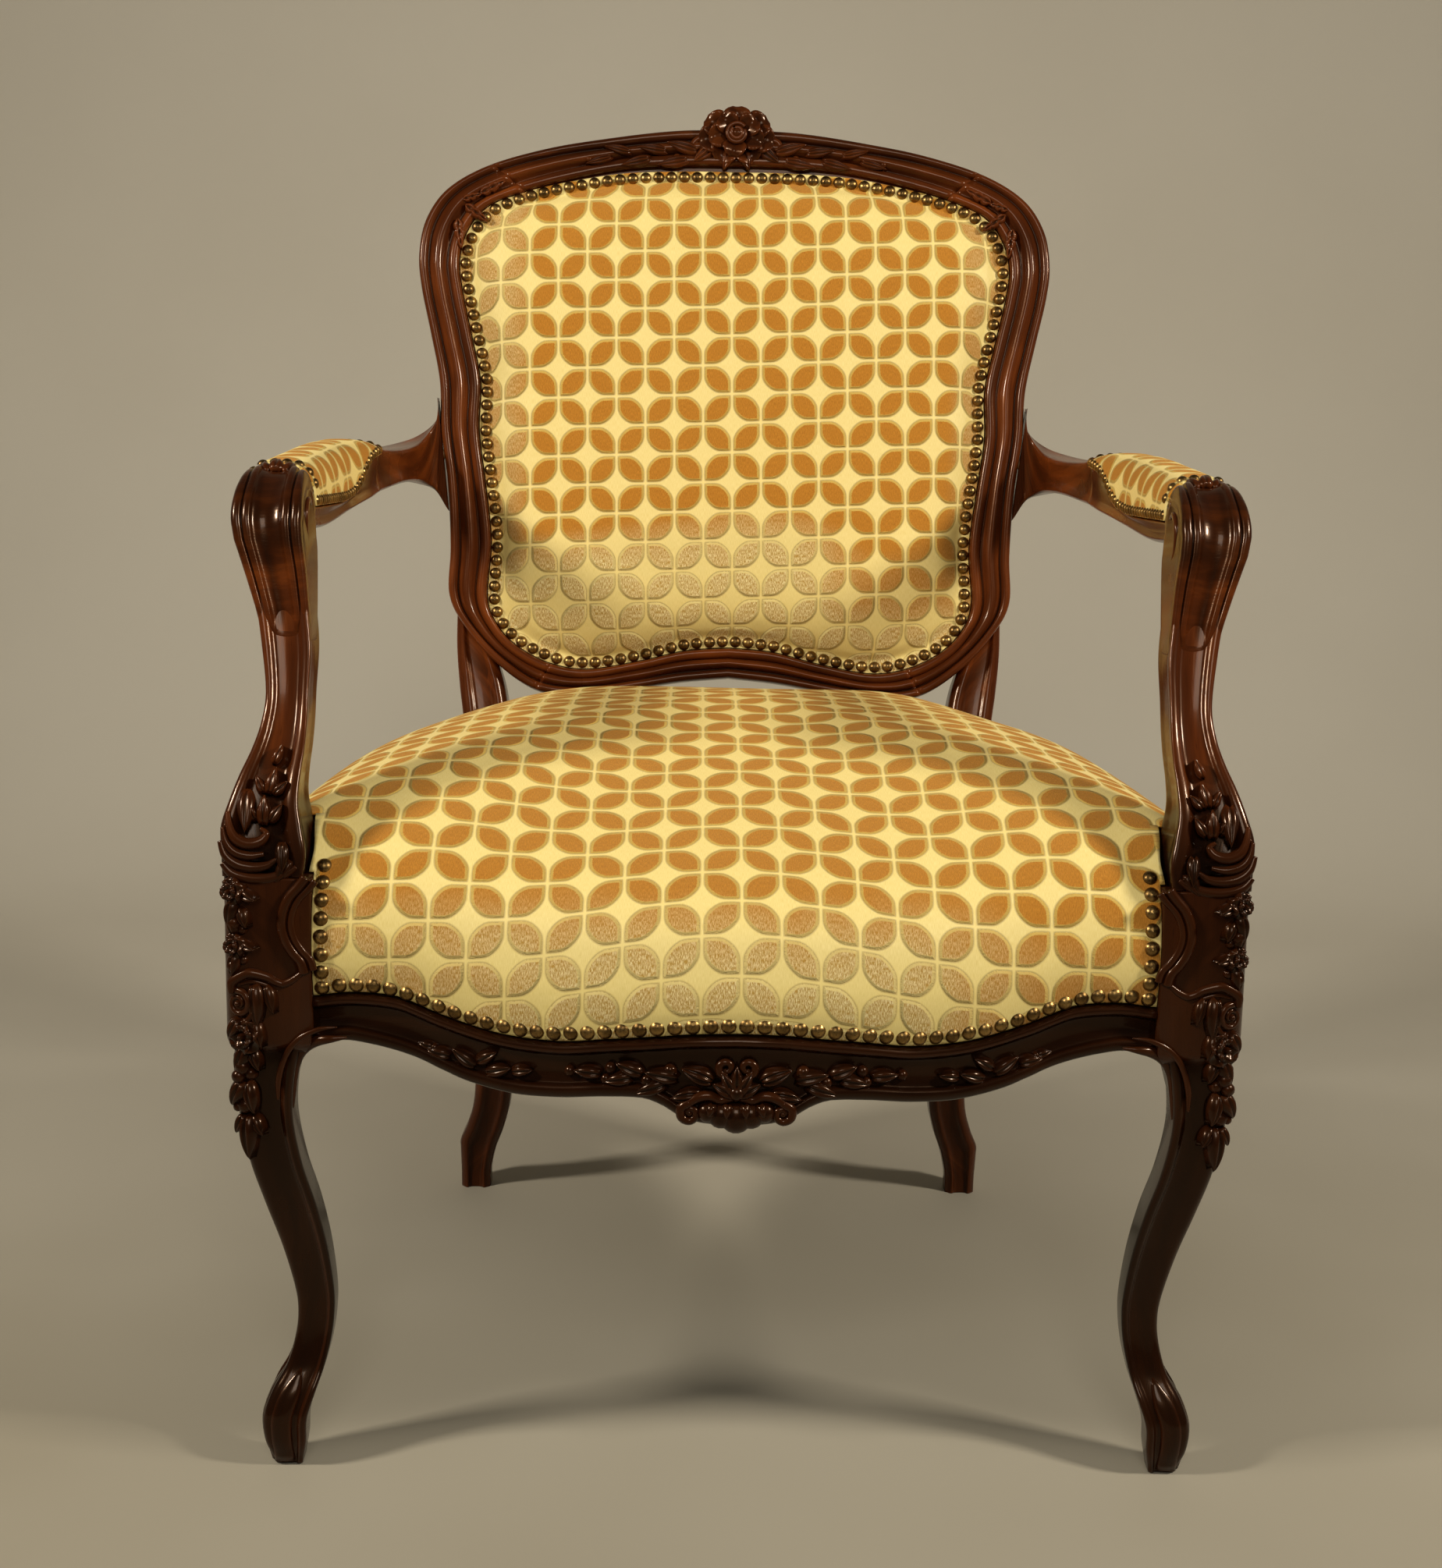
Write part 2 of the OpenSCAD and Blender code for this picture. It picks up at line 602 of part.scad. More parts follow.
// The arm's outline at row t, with a bead along each edge and a ledge below the pad. Its upper
// part is c larger all round
function arm_ring(t, c = 0) =
    let (r = curve(arm_rows, t), h = r[4] / 2, m = (r[2] + r[3]) / 2, k = r[6], line = pad_low(r[1]))
    let (cut = k * rebate - c, lean = arm_lean * max(0, 1 - t),
         half = [[0.8 * h, r[3]], [h, r[3] + 2.5], [0.95 * h, r[3] + 6],
                 [lerp(0.87, 0.97, k) * h, lerp(m - 3, line - 1.5, k)],
                 [lerp(0.87 * h, h - cut, k), lerp(m + 3, line - 0.5, k)],
                 [h - cut, r[2] - 3 + c], [0.9 * h - cut, r[2] + c],
                 [0.5 * h, r[2] - 0.8 * (1 - k) + c]])
    [for (q = concat(half, [[0, r[2] - 1 + k + c]], [for (q = flip(half)) [-q[0], q[1]]]))
        [r[0] + q[0] * cos(r[5]) + lean * (q[1] - m), r[1] + q[0] * sin(r[5]), q[1]]];
module arm_dowel(c) {
    r = arm_rows[0];
    translate([r[0] - 12 - c, r[1], (r[2] + r[3]) / 2])
        rotate([0, 90, 0])
            cylinder(h = 24 + 2 * c, d = dowel_d * 0.8 + 2 * c, $fn = 32);
}

module knuckle_dowel(c) {
    translate([knuckle_x, arm_front, knuckle_z + 7])
        rotate([90, 0, 0])
            cylinder(h = 30 + 2 * c, d = dowel_d + 2 * c, center = true, $fn = 32);
}

module arm(left) {
    sided(left)
        difference() {
            loft([for (t = rows_at(len(arm_rows) - 1, 0, 3)) arm_ring(t)]);
            arm_dowel(fit);
            knuckle_dowel(fit);
        }
}

module arm_left() { placed(wood) arm(true); }
module arm_right() { placed(wood) arm(false); }

module arm_dowels() {
    placed("#a9814f")
        for (g = [0, 1])
            mirror([g, 0, 0]) {
                arm_dowel(0);
                knuckle_dowel(0);
            }
}

// Height, distance outward of the block's middle, distance behind it, width, depth
support_rows = [
    [block_top + seat_gap, 2, 0, 50, 50], [407, 1.5, 1, 52, 50], [422, 3.5, 4, 50, 47],
    [437, 3, 8, 43, 43], [452, 0.5, 14, 38, 39], [467, -3, 22, 33, 36],
    [482, -5, 31, 29, 35], [500, -5.5, 40, waist_w, 35], [527, -3.5, 51, waist_w + 4, 36],
    [552, 0.5, 60, 33, 38], [574, 5, 67, 38, 42], [594, 9.5, 73, 41, 44], [606, 11, 77, 42, 40]];
// The support's section in half widths: a hollow between two beads on the front and outer side
support_section = [[-1, -1], [-0.84, -1], [-0.62, -0.82], [0, -0.74], [0.62, -0.82],
                   [0.84, -1], [1, -0.9], [1, -0.7], [0.86, -0.5], [0.8, 0.1], [0.86, 0.62],
                   [1, 0.8], [0.9, 1], [0, 0.94], [-0.9, 1], [-1, 0.8], [-0.93, 0.3],
                   [-0.93, -0.5]];
function support_ring(t) =
    let (r = curve(support_rows, t))
    [for (p = support_section)
        [block_x + r[1] + p[0] * r[3] / 2, block_y + r[2] + p[1] * r[4] / 2, r[0]]];

module support_tenon(c) {
    translate([block_x - 12 - c, block_y - 12 - c, block_top - tenon_l - c])
        cube([24 + 2 * c, 24 + 2 * c, tenon_l + 6 + c]);
}

// The rolled end of the arm: three ribs that run over it from front to back
module knuckle() {
    w = knuckle_w / 2;
    g = 3;
    profile = [[0, -w], [knuckle_r - 4, -w], [knuckle_r, 3 - w], [knuckle_r, -w * 0.5],
               [knuckle_r - g, -w * 0.38], [knuckle_r + 1, -w * 0.2], [knuckle_r + 1, w * 0.2],
               [knuckle_r - g, w * 0.38], [knuckle_r, w * 0.5], [knuckle_r, w - 3],
               [knuckle_r - 4, w], [0, w]];
    translate([knuckle_x, knuckle_y, knuckle_z])
        rotate([0, 90, 0])
            rotate_extrude($fn = 48)
                polygon(profile);
}

// Leaves that rise from the block up the front of the support: distance outward of the
// middle, height of the base, lean, length, width
support_leaf_rows = [[0, 405, 0, 36, 15], [-10, 400, -14, 27, 11], [10, 400, 14, 27, 11],
                     [-19, 397, -22, 18, 9], [19, 397, 22, 18, 9]];

module support_leaves() {
    for (p = support_leaf_rows)
        translate([block_x + 2 + p[0], block_y - 20, p[1]])
            rotate([-15, p[2], 0])
                rotate([0, -90, 90])
                    drop(p[3], p[4], 1);
}

module arm_support(left) {
    sided(left)
        difference() {
            union() {
                union() {
                    loft([for (t = rows_at(len(support_rows) - 1, 1, 7)) support_ring(t)]);
                    support_leaves();
                }
                knuckle();
                support_tenon(0);
            }
            translate([knuckle_x - knuckle_w, arm_front - seat_gap, knuckle_z - 12])
                cube([2 * knuckle_w, knuckle_r, knuckle_r * 2]);
            knuckle_dowel(fit);
        }
}

module arm_support_left() { placed(wood) arm_support(true); }
module arm_support_right() { placed(wood) arm_support(false); }

// Glued blocks inside the corners of the seat frame

module corner_blocks() {
    low = web_z + 10;
    high = rail_top - 18;
    inside = rail_t + seat_gap;
    placed("#a9814f")
        for (g = [0, 1])
            mirror([g, 0, 0])
                translate([0, 0, low])
                    linear_extrude(high - low) {
                        polygon([
                            for (x = [rail_end - 62, rail_end - 40, rail_end - 20, rail_end - 0.5])
                                [x, front_y(x) + inside],
                            [rail_end - 0.5, side_front + seat_gap],
                            [side_x(0) - inside - 0.5, side_front + seat_gap],
                            [side_x(0.06) - inside, lerp(side_front, side_back, 0.06)],
                            [side_x(0.12) - inside, lerp(side_front, side_back, 0.12)]]);
                        polygon([
                            [side_x(0.87) - inside, lerp(side_front, side_back, 0.87)],
                            [side_x(0.94) - inside, lerp(side_front, side_back, 0.94)],
                            [side_x(1) - inside, side_back - seat_gap],
                            [stile_x - stile_w / 2 - seat_gap, side_back - seat_gap],
                            [stile_x - stile_w / 2 - seat_gap, rear_face - rear_t - seat_gap],
                            [stile_x - stile_w / 2 - 50, rear_face - rear_t - seat_gap]]);
                    }
}

// Webbing, springs and what lies on them

web_x = [for (i = [-2:2]) i * 76];
web_y = [for (i = [-2:2]) i * 87 - 31];
tack_d = 7;
tack_h = 1;
function side_at(y) = side_x((y - side_front) / (side_back - side_front));
function cross_half(y) = side_at(y + web_w / 2) - web_hold;
function strap_front(x) = front_y(abs(x) + web_w / 2) + web_hold;
strap_back = rear_face - rear_t / 2 - 1;

module seat_webbing() {
    placed(canvas)
        union() {
            for (y = web_y)
                translate([-cross_half(y), y - web_w / 2, web_z - web_t])
                    cube([2 * cross_half(y), web_w, web_t]);
            for (x = web_x)
                translate([x - web_w / 2, strap_front(x), web_z - 2 * web_t])
                    cube([web_w, strap_back - strap_front(x), web_t]);
        }
}

module webbing_tacks() {
    placed(metal) {
        for (y = web_y, g = [-1, 1], k = [-1:1])
            translate([g * (cross_half(y) - 7), y + k * web_w * 0.33, web_z - web_t - tack_h])
                cylinder(h = tack_h, d = tack_d, $fn = 24);
        for (x = web_x, e = [0, 1], k = [-1:1])
            translate([x + k * web_w * 0.33, e ? strap_back - 5 : strap_front(x) + 6,
                       web_z - 2 * web_t - tack_h])
                cylinder(h = tack_h, d = tack_d, $fn = 24);
    }
}

spring_low = web_z + seat_gap;
spring_high = rail_top + 18;
wire = 3.6;
spring_places = [[web_x[1], web_y[1]], [web_x[3], web_y[1]], [web_x[2], web_y[2]],
                 [web_x[1], web_y[3]], [web_x[3], web_y[3]]];

// One spring: a wire of three flat sides that winds up with a narrower waist
module seat_spring() {
    steps = 7;
    rise = spring_high - spring_low - wire;
    loft([for (i = [0:steps * spring_turns])
        let (u = i / (steps * spring_turns), a = 360 * i / steps)
        let (r = (spring_d - wire) / 2 * (1 - 0.28 * sin(180 * u)), z = wire / 2 + rise * u)
        [for (b = [90, 210, 330])
            [(r + cos(b) * wire / 2) * cos(a), (r + cos(b) * wire / 2) * sin(a),
             z + sin(b) * wire / 2]]]);
}

module seat_springs() {
    placed(metal)
        for (p = spring_places)
            translate([p[0], p[1], spring_low])
                seat_spring();
}

// The seat: half its outline at the line of nails, across, back and up

crown_y = 25;
skin = cloth + seat_gap;
rear_nail = nail_z + 5;
front_cols = 12;
seat_half = concat(
    [for (i = [0:front_cols])
        let (x = rail_end * i / front_cols) [x, front_y(x) - skin, front_nail(x) - nail_d / 2]],
    let (z = side_nail(0) - nail_d / 2)
        [[block_x - 8, front_face - skin, z], [block_x + 12, front_face + 5, z],
         [side_x(0) + skin, front_face + 22, z]],
    [for (u = [0.08, 0.25, 0.42, 0.6, 0.8, 0.97])
        [side_x(u) + 1.1 * skin, lerp(side_front, side_back, u), side_nail(u) - nail_d / 2]],
    [[stile_x + stile_w / 2 - 6, side_back + 14, rear_nail],
     [stile_x + 4, rear_face + skin - 4, rear_nail]],
    [for (x = [1, 0.5, 0])
        [x * (stile_x - stile_w / 2), rear_face + skin, rear_nail - nail_d / 2]]);
seat_ring = concat(seat_half, [for (i = [len(seat_half) - 2:-1:1])
    [-seat_half[i][0], seat_half[i][1], seat_half[i][2]]]);
// Share of the way out from the crown and of the way up to it, at the front and then at the
// sides and rear, where the seat is fuller
seat_profile = [
    [1, 0, 1, 0], [1.008, 0.09, 1.02, 0.17], [1.002, 0.2, 1.028, 0.36], [0.972, 0.36, 1.015, 0.53],
    [0.915, 0.48, 0.985, 0.66], [0.83, 0.585, 0.92, 0.765], [0.68, 0.72, 0.8, 0.85],
    [0.5, 0.845, 0.6, 0.93], [0.3, 0.935, 0.36, 0.975], [0.12, 0.99, 0.14, 0.996]];
function side_share(d) = d[1] > 0 ? 1 : pow(d[0] / norm(d), 2);
function seat_point(b, p) =
    let (d = [b[0], b[1] - crown_y], w = side_share(d))
    let (r = lerp(p[0], p[2], w), h = lerp(p[1], p[3], w))
    [d[0] * r, crown_y + d[1] * r, lerp(b[2], crown_z, h)];
// The point on the cloth at a small height over its lower edge
function seat_rim(b, up) =
    let (w = side_share([b[0], b[1] - crown_y]), low = seat_profile[0], high = seat_profile[1])
    seat_point(b, lerp(low, high, up / (crown_z - b[2]) / lerp(high[1], high[3], w)));
// One ring of the seat, drawn in by a distance in plan and down by the same
function seat_round(p, inset) =
    [for (b = seat_ring)
        let (q = seat_point(b, p), c = [0, crown_y], d = [q[0], q[1]] - c)
        let (e = c + d * (1 - inset / norm(d)))
        [e[0], e[1], q[2] - inset * p[1]]];

// Room for the corner blocks, the arm supports and the rear legs
module seat_corners() {
    // The cuts run past the cloth on every side
    past = 100;
    low = nail_z - past;
    tall = crown_z - nail_z + 2 * past;
    for (g = [0, 1])
        mirror([g, 0, 0]) {
            translate([rail_end - seat_gap, front_face - past, low])
                cube([past, side_front + seat_gap - front_face + past, tall]);
            translate([stile_x - stile_w / 2 - seat_gap, side_back - seat_gap, low])
                cube([past, past, tall]);
        }
}

module seat_cover() {
    outer = [for (p = seat_profile) seat_round(p, 0)];
    inner = [for (p = flip(seat_profile)) seat_round(p, cloth)];
    placed(fabric)
        difference() {
            loft(concat(inner, outer));
            seat_corners();
        }
}

module seat_stuffing() {
    under = cloth + seat_gap + 1;
    top = [for (i = [4, 5, 6, 8]) seat_round(seat_profile[i], under)];
    pick = function (r) [for (i = [0:2:len(r) - 1]) r[i]];
    low = function (share, z) [for (b = pick(seat_ring))
        [b[0] * share, crown_y + (b[1] - crown_y) * share, z]];
    placed(canvas)
        difference() {
            loft(concat([low(0.6, hessian_top + seat_gap), low(0.84, hessian_top + seat_gap),
                         low(0.94, rail_top + 2 + seat_gap)], [for (r = top) pick(r)]));
            seat_corners();
        }
}

hessian_t = 1.5;
hessian_top = spring_high + seat_gap + hessian_t;

module seat_hessian() {
    pick = [for (i = [0:2:len(seat_ring) - 1]) seat_ring[i]];
    function sheet(share, z) =
        [for (b = pick) [b[0] * share, crown_y + (b[1] - crown_y) * share, z]];
    placed(canvas)
        difference() {
            loft([sheet(0.55, hessian_top - hessian_t), sheet(0.82, hessian_top - hessian_t),
                  sheet(0.91, rail_top + seat_gap), sheet(0.95, rail_top + seat_gap),
                  sheet(0.95, rail_top + seat_gap + hessian_t),
                  sheet(0.92, rail_top + seat_gap + hessian_t), sheet(0.83, hessian_top),
                  sheet(0.55, hessian_top)]);
            seat_corners();
        }
}

module dust_cover() {
    z = web_z - 2 * web_t - tack_h;
    half = concat(
        [for (i = [0:front_cols])
            let (x = (rail_end - 4) * i / front_cols) [x, front_y(x) + web_hold - 1]],
        [[rail_end - 4, side_front + 3]],
        [for (u = [0.06, 0.3, 0.6, 0.98])
            [side_x(u) - web_hold + 1, lerp(side_front, side_back, u)]],
        [[stile_x - stile_w / 2 - 2, side_back - 3], [stile_x - stile_w / 2 - 2, strap_back]]);
    placed("#3a3632")
        translate([0, 0, z - 1])
            linear_extrude(1)
                polygon(concat(half, [for (p = flip(half)) if (p[0] > 0) [-p[0], p[1]]]));
}

// The padded back

back_mid = 225;
ring_rows = len(ring_half) - 1;
ledge_n = -4.5;
loop = [for (t = [-ring_rows:ring_rows - 1]) t];
// A point of the back's cushion: row, share of the way out from its middle, height, inset
function pad_point(t, share, n, inset) =
    let (e = ledge_at(t, 0.8 + inset), s = back_mid * ks)
    at_back(e[0] * share, s + (e[1] - s) * share, n);
function pad_round(share, n, inset, step = 1) =
    [for (i = [0:step:len(loop) - 1]) pad_point(loop[i], share, n, inset)];
// Share of the way out, share of the padding
back_profile = [[1, 0], [0.95, 0.01], [0.915, 0.3], [0.84, 0.61], [0.7, 0.84], [0.45, 0.97],
                [0.18, 1]];
back_edge = ledge_n + seat_gap + cloth;
function back_height(p) = lerp(back_edge, back_pad, p[1]);

module back_cover() {
    placed(fabric)
        loft(concat([for (p = flip(back_profile)) pad_round(p[0], back_height(p) - cloth, 0)],
                    [for (p = back_profile) pad_round(p[0], back_height(p), 0)]));
}

module back_stuffing() {
    under = cloth + seat_gap + 0.7;
    behind = 3 - frame_t;
    placed(canvas)
        loft([pad_round(0.5, behind, ledge + 1, 2), pad_round(0.98, behind, ledge + 1, 2),
              pad_round(0.98, ledge_n - 2, ledge + 1, 2),
              pad_round(0.86, lerp(back_edge, back_pad, 0.5) - under, ledge + 1, 2),
              pad_round(0.72, lerp(back_edge, back_pad, 0.78) - under, ledge + 1, 2),
              pad_round(0.4, lerp(back_edge, back_pad, 0.96) - under, ledge + 1, 2)]);
}

// Straps behind the stuffing, on the rear of the ledge
inner_side = [for (i = [5:16]) [ring_edges[i][3], ring_edges[i][2]]];
inner_low = [for (i = [0:5]) [ring_edges[i][2], ring_edges[i][3]]];
inner_top = [for (i = [16:ring_rows]) [ring_edges[i][2], ring_edges[i][3]]];
strap_n = -frame_t - seat_gap;

module back_webbing() {
    hold = 9;
    placed(canvas)
        union() {
            for (s = [75, 160, 245, 330]) {
                x = min(at(inner_side, s * ks - web_w / 2)[1], at(inner_side, s * ks + web_w / 2)[1]);
                w = x - ledge + hold;
                loft([for (i = [-4:4]) [for (c = [[-1, 0], [1, 0], [1, -1], [-1, -1]])
                    at_back(i * w / 4, s * ks + c[0] * web_w / 2, strap_n + c[1] * web_t)]]);
            }
            for (x = [-90, 0, 90]) {
                low = max(at(inner_low, abs(x) * kx - web_w / 2 * sign(abs(x)))[1],
                          at(inner_low, abs(x) * kx + web_w / 2)[1]) + ledge - hold;
                top = at(inner_top, abs(x) * kx + web_w / 2)[1] - ledge + hold;
                loft([for (s = [low, top]) [for (c = [[-1, 0], [0, 0], [1, 0], [1, -1], [0, -1], [-1, -1]])
                    at_back(x * kx + c[0] * web_w / 2, s, strap_n - web_t - 0.2 + c[1] * web_t)]]);
            }
        }
}

// The straps' flat lengths and the cover's stand a little off the hollow of the back
rear_n = strap_n - 2 * web_t - 2 * seat_gap - 2.4;
// How far the cover's edge is inside the mouldings' inner edge, here outside it
outer_in = -9;

module back_outer_cover() {
    flat_n = -frame_t - seat_gap;
    inner = [[0.3, rear_n], [0.93, rear_n], [0.957, flat_n], [1, flat_n]];
    placed(fabric)
        loft(concat([for (p = inner) pad_round(p[0], p[1], outer_in)],
                    [for (p = flip(inner)) pad_round(p[0], p[1] - cloth, outer_in)]));
}

// Arm pads

arm_by_y = [for (i = [len(arm_rows) - 1:-1:4]) let (r = arm_rows[i]) [r[1], r[0], r[2]]];
// Places along the pad, and the height of its crown there as a share of pad_h
pad_shape = [[pad_front, 0.8], [pad_front + 4.5, 0.88], [-140, 0.97], [-105, 1], [-70, 1], [-40, 1],
             [-15, 0.98], [5, 0.94], [20, 0.87], [34, 0.76], [48, 0.6], [pad_rear - 11, 0.46],
             [pad_rear - 4, 0.34], [pad_rear, 0.17]];
pad_sides = 8;
// The pad's outline across the arm, from one lower edge over the crown to the other
function pad_ring(p) =
    let (r = at(arm_by_y, p[0]), low = pad_low(p[0]), h = r[2] + pad_h * p[1] - low)
    [for (i = [0:pad_sides])
        let (a = 180 * i / pad_sides, u = cos(a))
        [r[1] + pad_w / 2 * sign(u) * pow(abs(u), 0.7), p[0], low + h * pow(sin(a), 0.7)]];

module arm_pad(left) {
    sided(left)
        difference() {
            loft([for (p = pad_shape) pad_ring(p)]);
            loft([for (t = [6:len(arm_rows) - 1]) arm_ring(t, seat_gap)]);
        }
}

module arm_pad_left() { placed(fabric) arm_pad(true); }
module arm_pad_right() { placed(fabric) arm_pad(false); }

// Domed nails

// The head of a nail: a cap cut from a ball
module nail(d) {
    h = d * 0.3;
    ball_r = (d * d / 4 + h * h) / (2 * h);
    difference() {
        translate([0, 0, h - ball_r])
            sphere(ball_r, $fn = 48);
        translate([-d, -d, -2 * d])
            cube(2 * d);
    }
}

// Distances along a path of points
function run(path) = [for (i = 0, s = 0; i < len(path);
    s = s + (i + 1 < len(path) ? norm(path[i + 1] - path[i]) : 0), i = i + 1) s];
// Points at an even pitch along a path, each with its place among the path's rows
function spaced(path, pitch, closed = false) =
    let (c = run(path), all = c[len(c) - 1], n = round(all / pitch))
    [for (k = [0:closed ? n - 1 : n])
        let (s = all * k / n, i = max([for (j = [0:len(c) - 2]) if (c[j] <= s) j]))
        i + (s - c[i]) / (c[i + 1] - c[i])];
function on_path(path, t) =
    let (i = min(floor(t), len(path) - 2)) lerp(path[i], path[i + 1], t - i);

// Nails along a path, standing along the matching directions
module nail_row(path, out, pitch, d, closed = false) {
    for (t = spaced(path, pitch, closed)) {
        v = on_path(out, t);
        u = v / norm(v);
        translate(on_path(path, t) + u * seat_gap)
            rotate([0, acos(u[2]), atan2(u[1], u[0])])
                nail(d);
    }
}

function span(a, b, n) = [for (i = [0:n]) lerp(a, b, i / n)];

// The place on the cloth near the block, at a row of the profile and a distance from the middle
function seat_at(k, x) =
    let (ends = [for (i = [front_cols - 1, front_cols])
        on_path([for (p = seat_profile) seat_point(seat_half[i], p)], k)])
    lerp(ends[0], ends[1], (x - ends[0][0]) / (ends[1][0] - ends[0][0]));
// Places on the cloth along its lower edge, at the nails' middles
function rim_path(rows) = [for (i = rows) seat_rim(seat_half[i], nail_d / 2)];
// The level way out of the seat at a place of its outline
function outward(i) = let (t = seat_half[i + 1] - seat_half[max(i - 1, 0)]) [t[1], -t[0], 0];
// The way out of the cloth over b, from the level direction h
function rim_out(b, h) =
    let (e = seat_rim(b, nail_d) - seat_rim(b, 0), u = h / norm(h)) [u[0], u[1], -(e * u) / e[2]];
side_first = front_cols + 4;

module seat_nails() {
    rear = [for (x = [-1, 0, 1])
        [x * (stile_x - stile_w / 2 - nail_d), rear_face + skin, rear_nail - nail_d / 2]];
    up_edge = span(0.75, 3.6, 8);
    edge_x = rail_end - nail_d / 2 - 1;
    placed(metal) {
        nail_row([for (b = rear) seat_rim(b, nail_d / 2)], [for (b = rear) rim_out(b, [0, 1, 0])],
                 nail_pitch, nail_d);
        for (g = [0, 1])
            mirror([g, 0, 0]) {
                front = rim_path([0:front_cols]);
                first = nail_pitch / 2;
                nail_row(concat([[first, front[0][1], front[0][2]]],
                                [for (i = [1:front_cols - 1]) front[i]],
                                [[edge_x, front[front_cols][1], front[front_cols][2]]]),
                         [for (i = [0:front_cols]) rim_out(seat_half[i], outward(i))],
                         nail_pitch, nail_d);
                rim = rim_path([side_first - 1:side_first + 5]);
                from = (side_front + nail_d / 2 + 1 - rim[0][1]) / (rim[1][1] - rim[0][1]);
                sides = concat([on_path(rim, from)], [for (i = [1:6]) rim[i]]);
                nail_row(sides, [for (i = [0:6]) let (j = side_first - 1 + i)
                             rim_out(seat_half[j], outward(j))], nail_pitch, nail_d);
                // Up the edge of the corner block
                nail_row([for (k = up_edge) seat_at(k, edge_x)],
                         [for (k = up_edge) let (t = seat_at(k + 0.3, edge_x) - seat_at(k - 0.3, edge_x))
                             [0, -t[2], t[1]]], nail_pitch, nail_d);
            }
    }
}

function back_out(t, off) =
    let (e = ledge_at(t, off))
    cross(at_back(e[0] + 1, e[1], 0) - at_back(e[0] - 1, e[1], 0),
          at_back(e[0], e[1] + 1, 0) - at_back(e[0], e[1] - 1, 0));
nail_rows = span(-ring_rows, ring_rows, ring_rows * 4);
function back_nail_path(off, n) =
    [for (t = nail_rows) let (e = ledge_at(t, off)) at_back(e[0], e[1], n)];

module back_nails_front() {
    off = nail_d / 2 + 1;
    placed(metal)
        nail_row(back_nail_path(off, back_edge), [for (t = nail_rows) back_out(t, off)],
                 nail_pitch, nail_d, true);
}

module back_nails_rear() {
    off = outer_in + nail_d / 2 + 1;
    placed(metal)
        nail_row(back_nail_path(off, -frame_t - seat_gap - cloth),
                 [for (t = nail_rows) -back_out(t, off)], nail_pitch, nail_d, true);
}

module arm_nails(left) {
    off = pad_nail_d / 2;
    last = len(pad_shape) - 2;
    rings = [for (p = pad_shape) pad_ring(p)];
    // The row of nails up and along one side, and then the rows across the two ends
    side = [for (i = [1:last]) let (e = rings[i], q = rings[i + 1])
        let (k = sqrt(1 + pow((q[0][2] - e[0][2]) / (q[0][1] - e[0][1]), 2)) * off)
        on_path(e, k / (e[1][2] - e[0][2]))];
    sided(left) {
        for (g = [0, 1])
            nail_row([for (i = [0:last - 1]) let (x = rings[i + 1][pad_sides / 2][0])
                         g == 0 ? side[i] : [2 * x - side[i][0], side[i][1], side[i][2]]],
                     [for (i = [1:last])
                         let (d = rings[i + 1][pad_sides / 2] - rings[i - 1][pad_sides / 2],
                              out = g == 0 ? 1 : -1)
                         [out, -out * d[0] / d[1], 0.05]], pad_nail_d * 1.12, pad_nail_d);
        for (i = [1, last])
            nail_row([for (j = [1:pad_sides - 1]) rings[i][j]],
                     [for (j = [1:pad_sides - 1])
                         cross(rings[i + 1][j] - rings[i - 1][j], rings[i][j + 1] - rings[i][j - 1])],
                     pad_nail_d * 1.15, pad_nail_d);
    }
}

module arm_nails_left() { placed(metal) arm_nails(true); }
module arm_nails_right() { placed(metal) arm_nails(false); }

front_leg_left();
front_leg_right();
rear_leg_left();
rear_leg_right();
front_rail();
side_rail_left();
side_rail_right();
rear_rail();
crest_rail();
back_lower_rail();
arm_left();
arm_right();
arm_support_left();
arm_support_right();
corner_blocks();
back_dowels();
arm_dowels();
seat_webbing();
webbing_tacks();
seat_springs();
seat_hessian();
seat_stuffing();
seat_cover();
dust_cover();
back_webbing();
back_stuffing();
back_cover();
back_outer_cover();
arm_pad_left();
arm_pad_right();
seat_nails();
back_nails_front();
back_nails_rear();
arm_nails_left();
arm_nails_right();
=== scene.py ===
# Looks of the open armchair: carved walnut frame, cut velvet, antique brass nails.
# Shapes are worked out in millimetres in the frame of the CAD source, and made in metres.
import math

import bmesh
import bpy
import numpy as np
from mathutils import Matrix, Vector


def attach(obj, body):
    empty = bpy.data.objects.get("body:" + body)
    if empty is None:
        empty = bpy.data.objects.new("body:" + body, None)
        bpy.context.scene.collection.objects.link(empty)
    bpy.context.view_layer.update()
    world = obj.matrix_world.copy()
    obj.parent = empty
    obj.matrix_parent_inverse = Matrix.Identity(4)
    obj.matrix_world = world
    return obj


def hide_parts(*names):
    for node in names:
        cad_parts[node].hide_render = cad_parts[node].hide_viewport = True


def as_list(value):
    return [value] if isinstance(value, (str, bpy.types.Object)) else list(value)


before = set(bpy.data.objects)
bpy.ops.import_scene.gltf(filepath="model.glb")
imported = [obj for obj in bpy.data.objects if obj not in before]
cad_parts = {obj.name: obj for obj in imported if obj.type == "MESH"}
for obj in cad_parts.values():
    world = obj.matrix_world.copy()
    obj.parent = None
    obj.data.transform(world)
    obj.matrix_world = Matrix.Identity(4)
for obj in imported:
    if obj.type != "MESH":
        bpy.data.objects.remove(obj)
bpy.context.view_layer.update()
rng = np.random.default_rng(7)
scene = bpy.context.scene
MM = 1000

# Values of the CAD source

